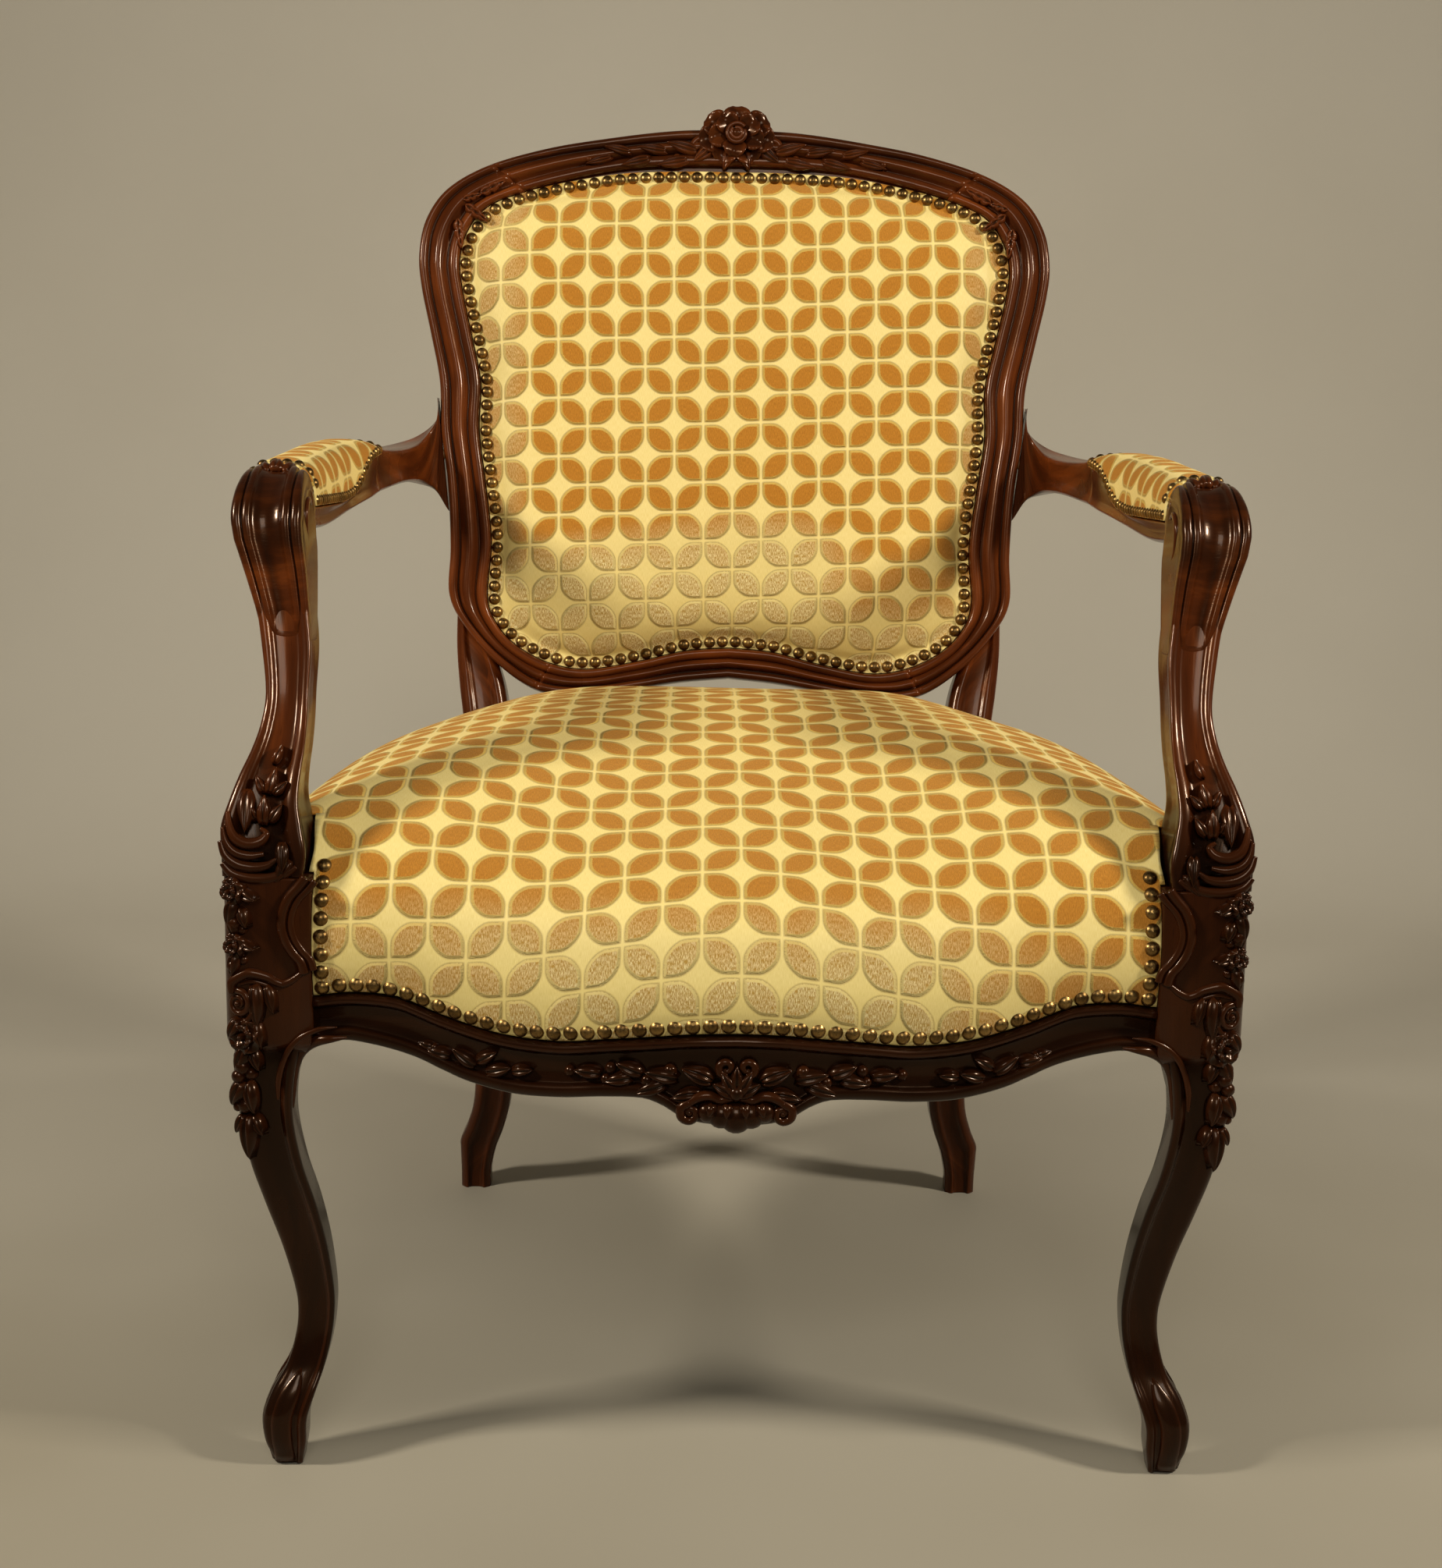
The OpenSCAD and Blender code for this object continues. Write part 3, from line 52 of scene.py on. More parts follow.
SEAT_W, SEAT_RUN, BLOCK, BLOCK_TOP = 632, 478, 54, 392
RAIL_TOP, RAIL_LOW, RAIL_T, FRONT_BOW, SIDE_BOW = 368, 292, 30, 50, 12
STILE_W, STILE_D, STILE_GAP = 40, 42, 402
ANKLE_IN, ANKLE_W, FOOT_W, REAR_KICK, REAR_FOOT_W = 20.5, 25, 18, 52, 26
BACK_W, BACK_H, RAKE, BACK_Z, HOLLOW, FRAME_T = 527, 457, math.radians(9.5), 463, 24, 24
KNUCKLE_OUT, KNUCKLE_BACK, KNUCKLE_R = 12, 78, 27
WAIST_W, PAD_L, PAD_W, PAD_H, REBATE = 27, 231, 47, 15, 3.4
CROWN_Z, NAIL_Z, CLOTH, BACK_PAD, NAIL_D, GAP = 474, 315, 2, 26, 9.5, 0.3
BLOCK_X = SEAT_W / 2 - BLOCK / 2
BLOCK_Y = -262
STILE_X = STILE_GAP / 2
STILE_Y = BLOCK_Y + SEAT_RUN
BACK_Y = STILE_Y + 2
RAIL_END = BLOCK_X - BLOCK / 2
# How far the ends of the front rail's face lie before the blocks' middle, and how far its
# carving stands out of it
FACE_OUT, CARVING_OUT = 16, 8
FRONT_FACE = BLOCK_Y - FACE_OUT
SIDE_FRONT = BLOCK_Y + BLOCK / 2
SIDE_BACK = STILE_Y - STILE_D / 2
REAR_FACE = STILE_Y + STILE_D / 2 - 12
SKIN = CLOTH + GAP


def arr(v):
    return np.asarray(v, float)


def stack(*v):
    return np.stack(np.broadcast_arrays(*[arr(a) for a in v]), -1)


def unit(v):
    v = arr(v)
    return v / np.maximum(np.linalg.norm(v, axis=-1, keepdims=True), 1e-9)


def smooth(x, a, b):
    t = np.clip((arr(x) - a) / (b - a), 0, 1)
    return t * t * (3 - 2 * t)


def curve(rows, t):
    """A smooth curve through the rows of a table, at places counted in rows."""
    rows, t = arr(rows), arr(t)
    i = np.clip(np.floor(t).astype(int), 0, len(rows) - 2)
    u = (t - i)[..., None]
    a, b = rows[np.maximum(i - 1, 0)], rows[i]
    c, d = rows[i + 1], rows[np.minimum(i + 2, len(rows) - 1)]
    return 0.5 * (2 * b + (c - a) * u + (2 * a - 5 * b + 4 * c - d) * u * u
                  + (3 * b - a - 3 * c + d) * u ** 3)


def at(rows, v):
    """The same curve at values of the table's first column, which rises or falls."""
    rows = arr(rows)
    c, places = rows[:, 0], np.arange(len(rows))
    if c[0] > c[-1]:
        c, places = c[::-1], places[::-1]
    return curve(rows, np.interp(v, c, places))


def at_back(x, s, n):
    """A point of the raked and hollow back: across, up along it, and out of its face."""
    f = n + HOLLOW * (arr(x) / (BACK_W / 2)) ** 2
    return stack(x, BACK_Y + s * np.sin(RAKE) - f * np.cos(RAKE),
                 BACK_Z + s * np.cos(RAKE) + f * np.sin(RAKE))


# Height up the back about which its covers are laid out
BACK_MID = 225
# Outer edge and ledge of the back frame, from the middle of its foot to the middle of its top
EDGES = arr([
    [0, 2, 0, 27], [40, -2, 37, 24], [82, -9, 74, 15], [125, -15, 118, 7],
    [162, -11, 149, 11], [196, 12, 176, 24], [222, 42, 194, 42], [234.5, 68, 203, 66],
    [234, 107, 200.5, 112], [237, 160, 206, 160], [243, 205, 212, 205], [245, 245, 211.5, 245],
    [253, 285, 219, 282], [261, 322, 227, 318], [263.5, 350, 230.5, 345], [258, 380, 225, 370],
    [240, 407, 209, 392], [205, 429, 178, 407], [158, 444, 141, 418], [105, 452, 95, 427],
    [50, 456.5, 46, 430.5], [0, 457, 0, 431]])
RING = len(EDGES) - 1
# Rows at which the lower rail, the rear legs and the crest meet
JOINT_LOW, JOINT_TOP = 4, 17


def ring_row(t):
    """Outer edge and ledge at a row, which is negative on the sitter's right."""
    t = arr(t)
    e = curve(EDGES, np.abs(t))
    g = np.where(t < 0, -1.0, 1.0)
    return stack(g * e[..., 0], e[..., 1], g * e[..., 2], e[..., 3])


def ledge_at(t, off):
    """Points that lie off the ledge, towards the middle of the back."""
    e = ring_row(t)
    o, i = e[..., :2], e[..., 2:]
    return i + unit(i - o) * off


# Mesh making

def linked(name, data):
    ob = bpy.data.objects.new(name, data)
    scene.collection.objects.link(ob)
    return ob


def shade_smooth(me, on=True):
    me.polygons.foreach_set("use_smooth", [on] * len(me.polygons))


class Shape:
    """Vertices in millimetres, faces, and a cloth or grain coordinate for each vertex."""

    def __init__(self):
        self.v, self.f, self.uv, self.nap, self.n = [], [], [], [], 0

    def add(self, v, f, uv, nap=None):
        v = arr(v).reshape(-1, 3)
        self.v.append(v)
        self.f += [tuple(int(k) + self.n for k in q) for q in f]
        self.uv.append(arr(uv).reshape(-1, 2))
        self.nap.append(np.zeros(len(v)) if nap is None else arr(nap).reshape(-1))
        self.n += len(v)
        return self

    def mirrored(self):
        """A copy on the other side of the middle."""
        v = np.concatenate(self.v) * [-1, 1, 1]
        return Shape().add(v, [q[::-1] for q in self.f], np.concatenate(self.uv),
                           np.concatenate(self.nap))

    def make(self, name, mat):
        v = (np.concatenate(self.v) + [0, SHIFT, 0]) / MM
        me = bpy.data.meshes.new(name)
        me.from_pydata(v.tolist(), [], self.f)
        shade_smooth(me)
        loops = np.zeros(len(me.loops), int)
        me.loops.foreach_get("vertex_index", loops)
        uv = me.uv_layers.new(name="UVMap")
        uv.data.foreach_set("uv", np.concatenate(self.uv)[loops].ravel())
        nap = me.attributes.new("nap", "FLOAT", "POINT")
        nap.data.foreach_set("value", np.concatenate(self.nap))
        me.materials.append(mat)
        me.validate()
        me.update()
        return linked(name, me)


def grid_faces(m, n, caps=False):
    """Faces of m closed rows of n points, with or without a cap at each end."""
    out = []
    for i in range(m - 1):
        for j in range(n):
            k = (j + 1) % n
            out.append((i * n + j, i * n + k, (i + 1) * n + k, (i + 1) * n + j))
    if caps:
        out.append(tuple(range(n - 1, -1, -1)))
        out.append(tuple((m - 1) * n + j for j in range(n)))
    return out


def outward(P, faces):
    """Turns the faces over if the closed form they make is inside out."""
    P = arr(P).reshape(-1, 3)
    c = P.mean(0)
    total = 0
    for q in faces:
        a = P[q[0]] - c
        for i in range(1, len(q) - 1):
            total += np.dot(a, np.cross(P[q[i]] - c, P[q[i + 1]] - c))
    return faces if total > 0 else [q[::-1] for q in faces]


def arc_of(P, axis=0):
    """Length run along an axis of a grid of points."""
    d = np.linalg.norm(np.diff(P, axis=axis), axis=-1)
    pad = [(0, 0)] * d.ndim
    pad[axis] = (1, 0)
    return np.cumsum(np.pad(d, pad), axis=axis)


def loft(shape, rings):
    """A closed form through rings, with grain coordinates round and along it."""
    P = arr(rings)
    m, n = P.shape[:2]
    uv = stack(arc_of(P, 1), arc_of(P, 0).mean(1)[:, None]) / MM + rng.uniform(0, 5, 2)
    return shape.add(P, outward(P, grid_faces(m, n, True)), uv)


def soften(pts, r, k=4, scale=None):
    """Rounds the corners of a closed outline with short curves."""
    P = arr(pts)
    M = P if scale is None else P @ arr(scale)
    n = len(P)
    out = []
    for i in range(n):
        a, b, c = P[i - 1], P[i], P[(i + 1) % n]
        la = max(np.linalg.norm(M[i] - M[i - 1]), 1e-6)
        lc = max(np.linalg.norm(M[(i + 1) % n] - M[i]), 1e-6)
        ri = r[i] if hasattr(r, "__len__") else r
        fa, fc = min(ri / la, 0.48), min(ri / lc, 0.48)
        p, q = b + (a - b) * fa, b + (c - b) * fc
        for t in np.linspace(0, 1, k):
            out.append((1 - t) ** 2 * p + 2 * t * (1 - t) * b + t * t * q)
    return arr(out)


def frame_of(origin, x, z):
    """A placing of local axes: x along, z out of the wood."""
    x, z = unit(x), arr(z)
    z = unit(z - x * np.dot(x, z))
    return arr(origin), np.stack([x, np.cross(z, x), z])


def placed(fr, P):
    return fr[0] + arr(P) @ fr[1]


def way(deg, along, up=(0, 0, 1)):
    """A direction turned from one axis towards another."""
    a = math.radians(deg)
    return arr(along) * math.cos(a) + arr(up) * math.sin(a)


def turned(g, deg):
    """An angle as seen on side g of a pair that mirror each other."""
    return deg if g > 0 else 180 - deg


# Carved ornaments, each a closed form sunk a little into the wood

def leaf(shape, fr, L, W, H, lobes=3, curl=0.0):
    """A carved leaf along x: lobed edges, a middle vein, and a tip that curls up."""
    u = np.linspace(0, 1, 9 * lobes + 1)[:, None]
    v = arr([-1, -0.93, -0.78, -0.55, -0.3, -0.12, 0, 0.12, 0.3, 0.55, 0.78, 0.93, 1])
    body = np.sin(np.pi * np.clip(u * 0.93 + 0.07, 0, 1)) ** 0.6 * (1.12 - 0.42 * u)
    w = W / 2 * body * (0.72 + 0.28 * np.abs(np.sin(np.pi * u * lobes)) ** 0.6)
    vein = arr([0, 0.4, 0.78, 0.98, 0.94, 0.74, 0.6, 0.74, 0.94, 0.98, 0.78, 0.4, 0])
    ribs = 0.14 * np.cos(2 * np.pi * (u * lobes - np.abs(v) * 0.6)) * (1 - np.abs(v))
    x = L * (u + 0.05 * np.abs(v) * np.cos(np.pi * u * lobes) ** 2)
    y = w * v
    top = stack(x, y, H * (body ** 0.5 * vein + ribs) + curl * u ** 2.2)
    under = stack(x[:, ::-3][:, :4], 0.7 * y[:, ::-3][:, :4], 0.6 * curl * u ** 2.2 - 5)
    return loft(shape, placed(fr, np.concatenate([top, under], 1)))


def pod(shape, fr, L, W, H, flutes=2, root=4, curl=0.0):
    """A plump carved leaf along x, with flutes down its back."""
    u, a = np.linspace(0, 1, 15)[:, None], np.linspace(-1, 1, 8 * flutes + 1)
    body = np.sin(np.pi * np.clip(u * 0.93 + 0.06, 0, 1)) ** 0.6 * (1.12 - 0.4 * u)
    groove = 0.7 + 0.3 * np.abs(np.sin(np.pi * flutes * (a + 1) / 2))
    z = H * body ** 0.7 * np.sqrt(1 - a * a * 0.98) * groove + curl * u ** 2
    x, y = L * (u - 0.1 * a * a), W / 2 * body * a
    under = stack(x[:, ::-4], y[:, ::-4] * 0.8, -root)
    return loft(shape, placed(fr, np.concatenate([stack(x, y, z), under], 1)))


def tube(path, r, flat=1.0, k=8):
    """Rings round a path, flattened towards the wood."""
    d = unit(np.gradient(path, axis=0))
    side = unit(np.cross([0, 0, 1], d))
    a = np.linspace(0, 2 * np.pi, k, endpoint=False)[:, None]
    ring = side[:, None] * np.cos(a) + np.cross(d, side)[:, None] * np.sin(a) * flat
    return path[:, None] + arr(r)[..., None, None] * ring


def scroll(shape, fr, pts, radii, flat=0.8, k=10):
    """A rounded bead along a path in the plane of the ornament, or off it."""
    pts = arr(pts)
    t = np.linspace(0, len(pts) - 1, 7 * (len(pts) - 1) + 1)
    c = curve(pts, t)
    if c.shape[1] == 2:
        c = np.concatenate([c, np.zeros((len(c), 1))], 1)
    return loft(shape, placed(fr, tube(c, curve(arr(radii)[:, None], t)[:, 0], flat, k)))


def spiral(x0, y0, r0, r1, a0, turns, n=9):
    """Points of a volute from its outer end to its eye."""
    a = np.radians(a0) + np.linspace(0, 2 * np.pi * turns, n)
    r = np.linspace(1, 0, n) ** 0.8 * (r0 - r1) + r1
    return np.stack([x0 + r * np.cos(a), y0 + r * np.sin(a)], 1)


def knob(shape, fr, r, h, n=12, m=7, root=3):
    """A smooth round boss."""
    a = np.linspace(0, 2 * np.pi, n, endpoint=False)
    q = np.append(0, np.linspace(0, np.pi / 2 * 0.96, m))[:, None]
    z = h * np.sin(q)
    z[0] = -root
    return loft(shape, placed(fr, stack(r * np.cos(q) * np.cos(a), r * np.cos(q) * np.sin(a), z)))


def pods(shape, place, rows, H, flutes=2, curl=1.5):
    for x, z, turn, L, W in rows:
        pod(shape, place(x, z, turn), L, W, H, flutes, curl=curl)


def knobs(shape, place, rows, high=0.9):
    for x, z, r in rows:
        knob(shape, place(x, z), r, r * high)


def petal(shape, fr, L, W, H, cup=0.5):
    """A petal along x that rises and turns over at its end."""
    u, v = np.linspace(0, 1, 9)[:, None], np.linspace(-1, 1, 9)
    x = L * (u + 0 * v)
    y = W / 2 * np.sin(np.pi * np.clip(0.12 + u * 0.85, 0, 1)) ** 0.5 * v
    z = np.sin(np.pi * u * 0.8) * (0.75 + 0.25 * v * v * (1 + cup)) \
        - 0.35 * cup * np.exp(-(v * 3) ** 2) * np.sin(np.pi * u) - np.clip(u - 0.75, 0, 1)
    low = stack(x[:, ::-2], y[:, ::-2] * 0.8, -4)
    return loft(shape, placed(fr, np.concatenate([stack(x, y, H * z), low], 1)))


PETALS = 5


def blossom(shape, fr, r, h):
    """An open flower: two rings of petals round a button."""
    o, M = fr
    for k in (0, 1):
        rr = r * (1 - 0.36 * k)
        for i in range(PETALS):
            a = 2 * np.pi * (i + 0.5 * k) / PETALS
            x = M[0] * np.cos(a) + M[1] * np.sin(a)
            petal(shape, frame_of(o + M[2] * (h * 0.45 * k) + x * rr * 0.12, x, M[2]),
                  rr * 0.9, 2 * rr * np.sin(np.pi / PETALS) * 0.98, h * 0.7)
    knob(shape, fr, r * 0.24, h * 1.35)


# Materials

def srgb(r, g, b):
    c = arr([r, g, b]) / 255
    return (*np.where(c <= 0.04045, c / 12.92, ((c + 0.055) / 1.055) ** 2.4), 1.0)


class Nodes:
    """Short calls for a material's nodes."""

    def __init__(self, name):
        self.mat = bpy.data.materials.new(name)
        self.mat.use_nodes = True
        self.t = self.mat.node_tree
        self.t.nodes.clear()
        out = self.t.nodes.new("ShaderNodeOutputMaterial")
        self.sh = self.t.nodes.new("ShaderNodeBsdfPrincipled")
        self.t.links.new(self.sh.outputs[0], out.inputs[0])
        co = self.node("TexCoord").outputs
        self.uv, self.obj = co["UV"], co["Object"]

    def node(self, kind, ins=(), **props):
        """A node whose inputs are linked to sockets or set to plain values."""
        n = self.t.nodes.new("ShaderNode" + kind)
        for k, v in props.items():
            setattr(n, k, v)
        return self.put(n, dict(ins))

    def put(self, n, ins):
        for k, v in ins.items():
            if isinstance(v, bpy.types.NodeSocket):
                self.t.links.new(v, n.inputs[k])
            else:
                n.inputs[k].default_value = v
        return n

    def look(self, ins):
        """Sets the shader's inputs and gives the finished material."""
        self.put(self.sh, ins)
        return self.mat

    def math(self, op, a, b=0.0, c=0.0, clamp=False):
        return self.node("Math", {0: a, 1: b, 2: c}, operation=op, use_clamp=clamp).outputs[0]

    def add(self, a, b):
        return self.math("ADD", a, b)

    def sub(self, a, b):
        return self.math("SUBTRACT", a, b)

    def mul(self, a, b):
        return self.math("MULTIPLY", a, b)

    def most(self, a, b):
        return self.math("MAXIMUM", a, b)

    def xyz(self, vec):
        return self.node("SeparateXYZ", {0: vec}).outputs

    def step(self, x, a, b, to_a=0.0, to_b=1.0):
        ins = {"Value": x, "From Min": a, "From Max": b, "To Min": to_a, "To Max": to_b}
        return self.node("MapRange", ins, interpolation_type="SMOOTHSTEP").outputs["Result"]

    def mix(self, f, a, b):
        return self.node("Mix", {0: f, 6: a, 7: b}, data_type="RGBA").outputs[2]

    def noise(self, vec, scale, detail=3, rough=0.5):
        ins = {"Vector": vec, "Scale": scale, "Detail": detail, "Roughness": rough}
        return self.node("TexNoise", ins).outputs[0]

    def drawn(self, vec, scale, detail, rough):
        """Noise drawn out by a scale for each axis."""
        stretched = self.node("Mapping", {"Vector": vec, "Scale": scale}).outputs[0]
        return self.noise(stretched, 1.0, detail, rough)

    def edge(self):
        return self.node("NewGeometry").outputs["Pointiness"]

    def bump(self, height, strength, distance, **under):
        ins = {"Strength": strength, "Distance": distance, "Height": height, **under}
        return self.node("Bump", ins).outputs[0]


def walnut():
    m = Nodes("walnut_polish")
    figure = m.drawn(m.uv, (60, 5, 1), 4, 0.6)
    pores = m.drawn(m.uv, (900, 40, 1), 2, 0.6)
    cloud = m.noise(m.obj, 9.0, 3, 0.55)
    edge = m.edge()
    ramp = m.node("ValToRGB", {0: m.add(m.mul(figure, 0.6), m.mul(cloud, 0.4))})
    e = ramp.color_ramp.elements
    e[0].position, e[0].color = 0.3, srgb(36, 15, 5)
    e[1].position, e[1].color = 0.7, srgb(130, 64, 22)
    e.new(0.5).color = srgb(76, 34, 11)
    # Painted shade: the legs and rail (most at the front), the knuckles and the crest's top are
    # darkened by place, so the fronts of the legs and of the rail are darker than the arms and the
    # back
    _, y, z = m.xyz(m.obj)
    low = m.mul(m.step(z, 0.40, 0.50, 1.0, 0.0), m.step(y, -0.24, 0.1, 1.0, 0.35))
    high = m.mul(m.step(z, 0.56, 0.6, 0.0, 0.75), m.step(y, -0.2, -0.12, 1.0, 0.0))
    dark = m.most(m.most(low, high), m.step(z, 0.86, 0.91, 0.0, 0.6))
    worn = m.step(edge, 0.51, 0.56)
    # Painted shade: hollows, found by low pointiness, are darkened and made a little rougher
    painted_hollow_shade = m.step(edge, 0.44, 0.492, 1.0, 0.0)
    # The painted shade darkens the colour, and dims the real wear on edges where it lies
    col = m.mix(m.mul(dark, 0.9), ramp.outputs[0], srgb(14, 6, 2))
    col = m.mix(m.mul(worn, m.sub(0.4, m.mul(dark, 0.3))), col, srgb(112, 54, 22))
    # Painted shade darkens the hollows
    col = m.mix(m.mul(painted_hollow_shade, 0.8), col, srgb(9, 4, 3))
    return m.look({
        "Base Color": m.mix(m.step(pores, 0.62, 0.75, 0.0, 0.5), col, srgb(12, 5, 3)),
        "Roughness": m.add(m.step(cloud, 0.3, 0.7, 0.2, 0.3), m.mul(painted_hollow_shade, 0.06)),
        "Specular IOR Level": 0.2, "Specular Tint": srgb(255, 200, 156),
        "Coat Weight": 0.3, "Coat IOR": 1.35, "Coat Roughness": 0.09,
        "Normal": m.bump(m.noise(m.obj, 60, 2), 0.12, 0.001, Normal=m.bump(pores, 0.25, 0.0003))})


# The petals: the size and place of the two discs, the gap at the cell's edge, and how round
# the corners are, all in cells
PETAL_REACH, PETAL_OFF, PETAL_GAP, PETAL_ROUND = 0.695, 0.2333, 0.06, 0.06


def velvet():
    """Cut velvet: raised petals in a lattice of overlapping circles over satin."""
    m = Nodes("cut_velvet")
    nap = m.node("Attribute", attribute_name="nap").outputs["Fac"]
    u, v, _ = m.xyz(m.uv)
    odd = m.math("ROUND", m.math("PINGPONG", m.add(m.math("FLOOR", u), m.math("FLOOR", v)), 1.0))
    fu, fv = m.math("FRACT", u), m.math("FRACT", v)
    # Every second cell is turned over
    fu = m.add(m.mul(fu, m.sub(1.0, odd)), m.mul(m.sub(1.0, fu), odd))

    def far(a, b):
        return m.math("SQRT", m.add(m.mul(a, a), m.mul(b, b)))
    # A petal is where two discs overlap, cut by the edges of its cell
    near, away = 0.5 - PETAL_OFF, 0.5 + PETAL_OFF
    r1 = far(m.sub(fu, away), m.sub(fv, near))
    r2 = far(m.sub(fu, near), m.sub(fv, away))
    du, dv = (m.math("ABSOLUTE", m.sub(f, 0.5)) for f in (fu, fv))
    e = m.math("SMOOTH_MIN", m.sub(PETAL_REACH, m.most(r1, r2)),
               m.sub(0.5 - PETAL_GAP, m.most(du, dv)), PETAL_ROUND)
    loops = m.drawn(m.uv, (24, 24, 1), 1, 0.5)
    ragged = m.add(e, m.mul(m.sub(loops, 0.5), 0.05))
    inside = m.step(ragged, -0.012, 0.012)
    core = m.step(ragged, 0.055, 0.085)
    shade = m.step(e, -0.06, 0.0)
    pile = m.drawn(m.uv, (44, 9, 1), 3, 0.7)
    fine = m.drawn(m.uv, (160, 160, 1), 2, 0.6)
    weave = m.drawn(m.uv, (150, 6, 1), 2, 0.5)
    patch = m.mul(m.sub(m.noise(m.obj, 22, 3, 0.6), 0.5), 0.7)
    # Painted sheen: where the pile lies the other way the petals turn whitish, their rims paler and
    # the ground duller
    lying_sheen = m.mul(m.math("ADD", nap, patch, clamp=True), m.step(nap, 0.02, 0.25))
    orange = m.mix(m.step(pile, 0.3, 0.75), srgb(188, 118, 24), srgb(220, 152, 50))
    silver = m.mix(m.step(pile, 0.42, 0.6), srgb(200, 156, 62), srgb(255, 240, 182))
    rim = m.mix(lying_sheen, srgb(232, 194, 96), srgb(244, 222, 146))
    thread = m.step(weave, 0.35, 0.65)
    satin = m.mix(thread, srgb(236, 212, 130), srgb(246, 226, 152))
    dull = m.mix(thread, srgb(228, 206, 126), srgb(240, 220, 146))
    ground = m.mix(m.mul(shade, 0.6), m.mix(m.step(nap, 0.1, 0.8), satin, dull), srgb(146, 110, 44))
    height = m.add(m.step(ragged, -0.01, 0.075), m.mul(m.mul(fine, inside), 0.25))
    return m.look({
        "Base Color": m.mix(inside, ground, m.mix(core, rim, m.mix(lying_sheen, orange, silver))),
        "Roughness": m.add(0.5, m.mul(inside, 0.38)), "Specular IOR Level": 0.35,
        "Sheen Weight": 0.25, "Sheen Roughness": 0.45, "Sheen Tint": srgb(255, 226, 160),
        "Normal": m.bump(m.add(height, m.mul(weave, 0.04)), 1.0, 0.0019)})


def brass():
    m = Nodes("antique_brass")
    broad, fine = m.noise(m.obj, 90, 3, 0.6), m.noise(m.obj, 700, 2, 0.6)
    col = m.mix(m.step(broad, 0.35, 0.7), srgb(104, 80, 46), srgb(160, 128, 76))
    return m.look({
        "Base Color": m.mix(m.step(fine, 0.55, 0.75, 0.0, 0.55), col, srgb(52, 38, 24)),
        "Metallic": 1.0, "Roughness": m.step(fine, 0.3, 0.8, 0.26, 0.5),
        "Normal": m.bump(fine, 0.25, 0.0002)})


def woven(name, dark, light, threads):
    m = Nodes(name)
    x, y, _ = m.xyz(m.obj)
    weft = m.mul(*(m.math("SINE", m.mul(k, threads)) for k in (x, y)))
    spots = m.add(m.step(weft, -0.6, 0.6, 0.0, 0.6), m.mul(m.noise(m.obj, 40, 3, 0.6), 0.4))
    return m.look({"Base Color": m.mix(spots, srgb(*dark), srgb(*light)), "Roughness": 0.9,
                   "Normal": m.bump(weft, 0.4, 0.0004)})


def beech():
    m = Nodes("beech")
    g = m.drawn(m.obj, (6, 60, 60), 4, 0.6)
    col = m.mix(m.step(g, 0.3, 0.7), srgb(120, 84, 46), srgb(176, 132, 82))
    return m.look({"Base Color": col, "Roughness": 0.6, "Normal": m.bump(g, 0.2, 0.0004)})


def steel():
    m = Nodes("spring_steel")
    g = m.noise(m.obj, 120, 3, 0.6)
    col = m.mix(m.step(g, 0.3, 0.7), srgb(70, 62, 54), srgb(140, 128, 112))
    return m.look({"Base Color": col, "Metallic": 0.9, "Roughness": m.step(g, 0.3, 0.7, 0.35, 0.6)})


WALNUT, VELVET, BRASS, BEECH, STEEL = walnut(), velvet(), brass(), beech(), steel()
CANVAS = woven("webbing", (120, 96, 62), (188, 162, 116), 2600)
HESSIAN = woven("hessian", (112, 88, 54), (176, 148, 100), 1900)
FILLING = woven("stuffing", (70, 52, 34), (150, 122, 84), 900)
BLACK = woven("black_cloth", (18, 17, 17), (44, 42, 40), 4200)


# The moulded frame of the back

# The width from edge to ledge for which its section's corners are rounded, and the ledge's height
MOULD_W, LEDGE_Z = 28, -4.5
# Its section: share of the way from edge to ledge, an added way in the same direction, height
MOULD = arr([
    [0, 3, -24], [0, 0, -20], [0, 0, -3], [0, 1.6, 0.6], [0, 4.2, 1.4], [0, 6.8, 0.4], [0, 8, -3.2],
    [0.36, 0, 0.4], [0.44, 0, 3.2], [0.52, 0, 3.6], [0.60, 0, 2.0], [0.68, 0, -1.2],
    [1, -8.7, -1.6], [1, -7.4, 1.6], [1, -4.2, 3.2], [1, -1.2, 2.6], [1, 0, 0.2], [1, 0, LEDGE_Z],
    [1, 15, LEDGE_Z], [1, 15, -20], [1, 12, -24]])
MOULD_ROUND = [2, 3, 2.5, 2, 3, 2, 1.2, 2, 3, 3, 3, 2, 1.2, 2.5, 3.5, 2, 1.5, 1, 1, 3, 2]
FINE = soften(MOULD, MOULD_ROUND, 4, [[MOULD_W, 0], [1, 0], [0, 1]])


def ring_sections(ts):
    e = ring_row(ts)
    o, i = e[:, :2], e[:, 2:]
    d = unit(i - o)
    p = o[:, None] + (i - o)[:, None] * FINE[None, :, 0:1] + d[:, None] * FINE[None, :, 1:2]
    return at_back(p[..., 0], p[..., 1], FINE[None, :, 2])


def band(shape, a, b, per_row=9):
    return loft(shape, ring_sections(np.linspace(a, b, int(round(abs(b - a) * per_row)) + 1)))


# Front legs

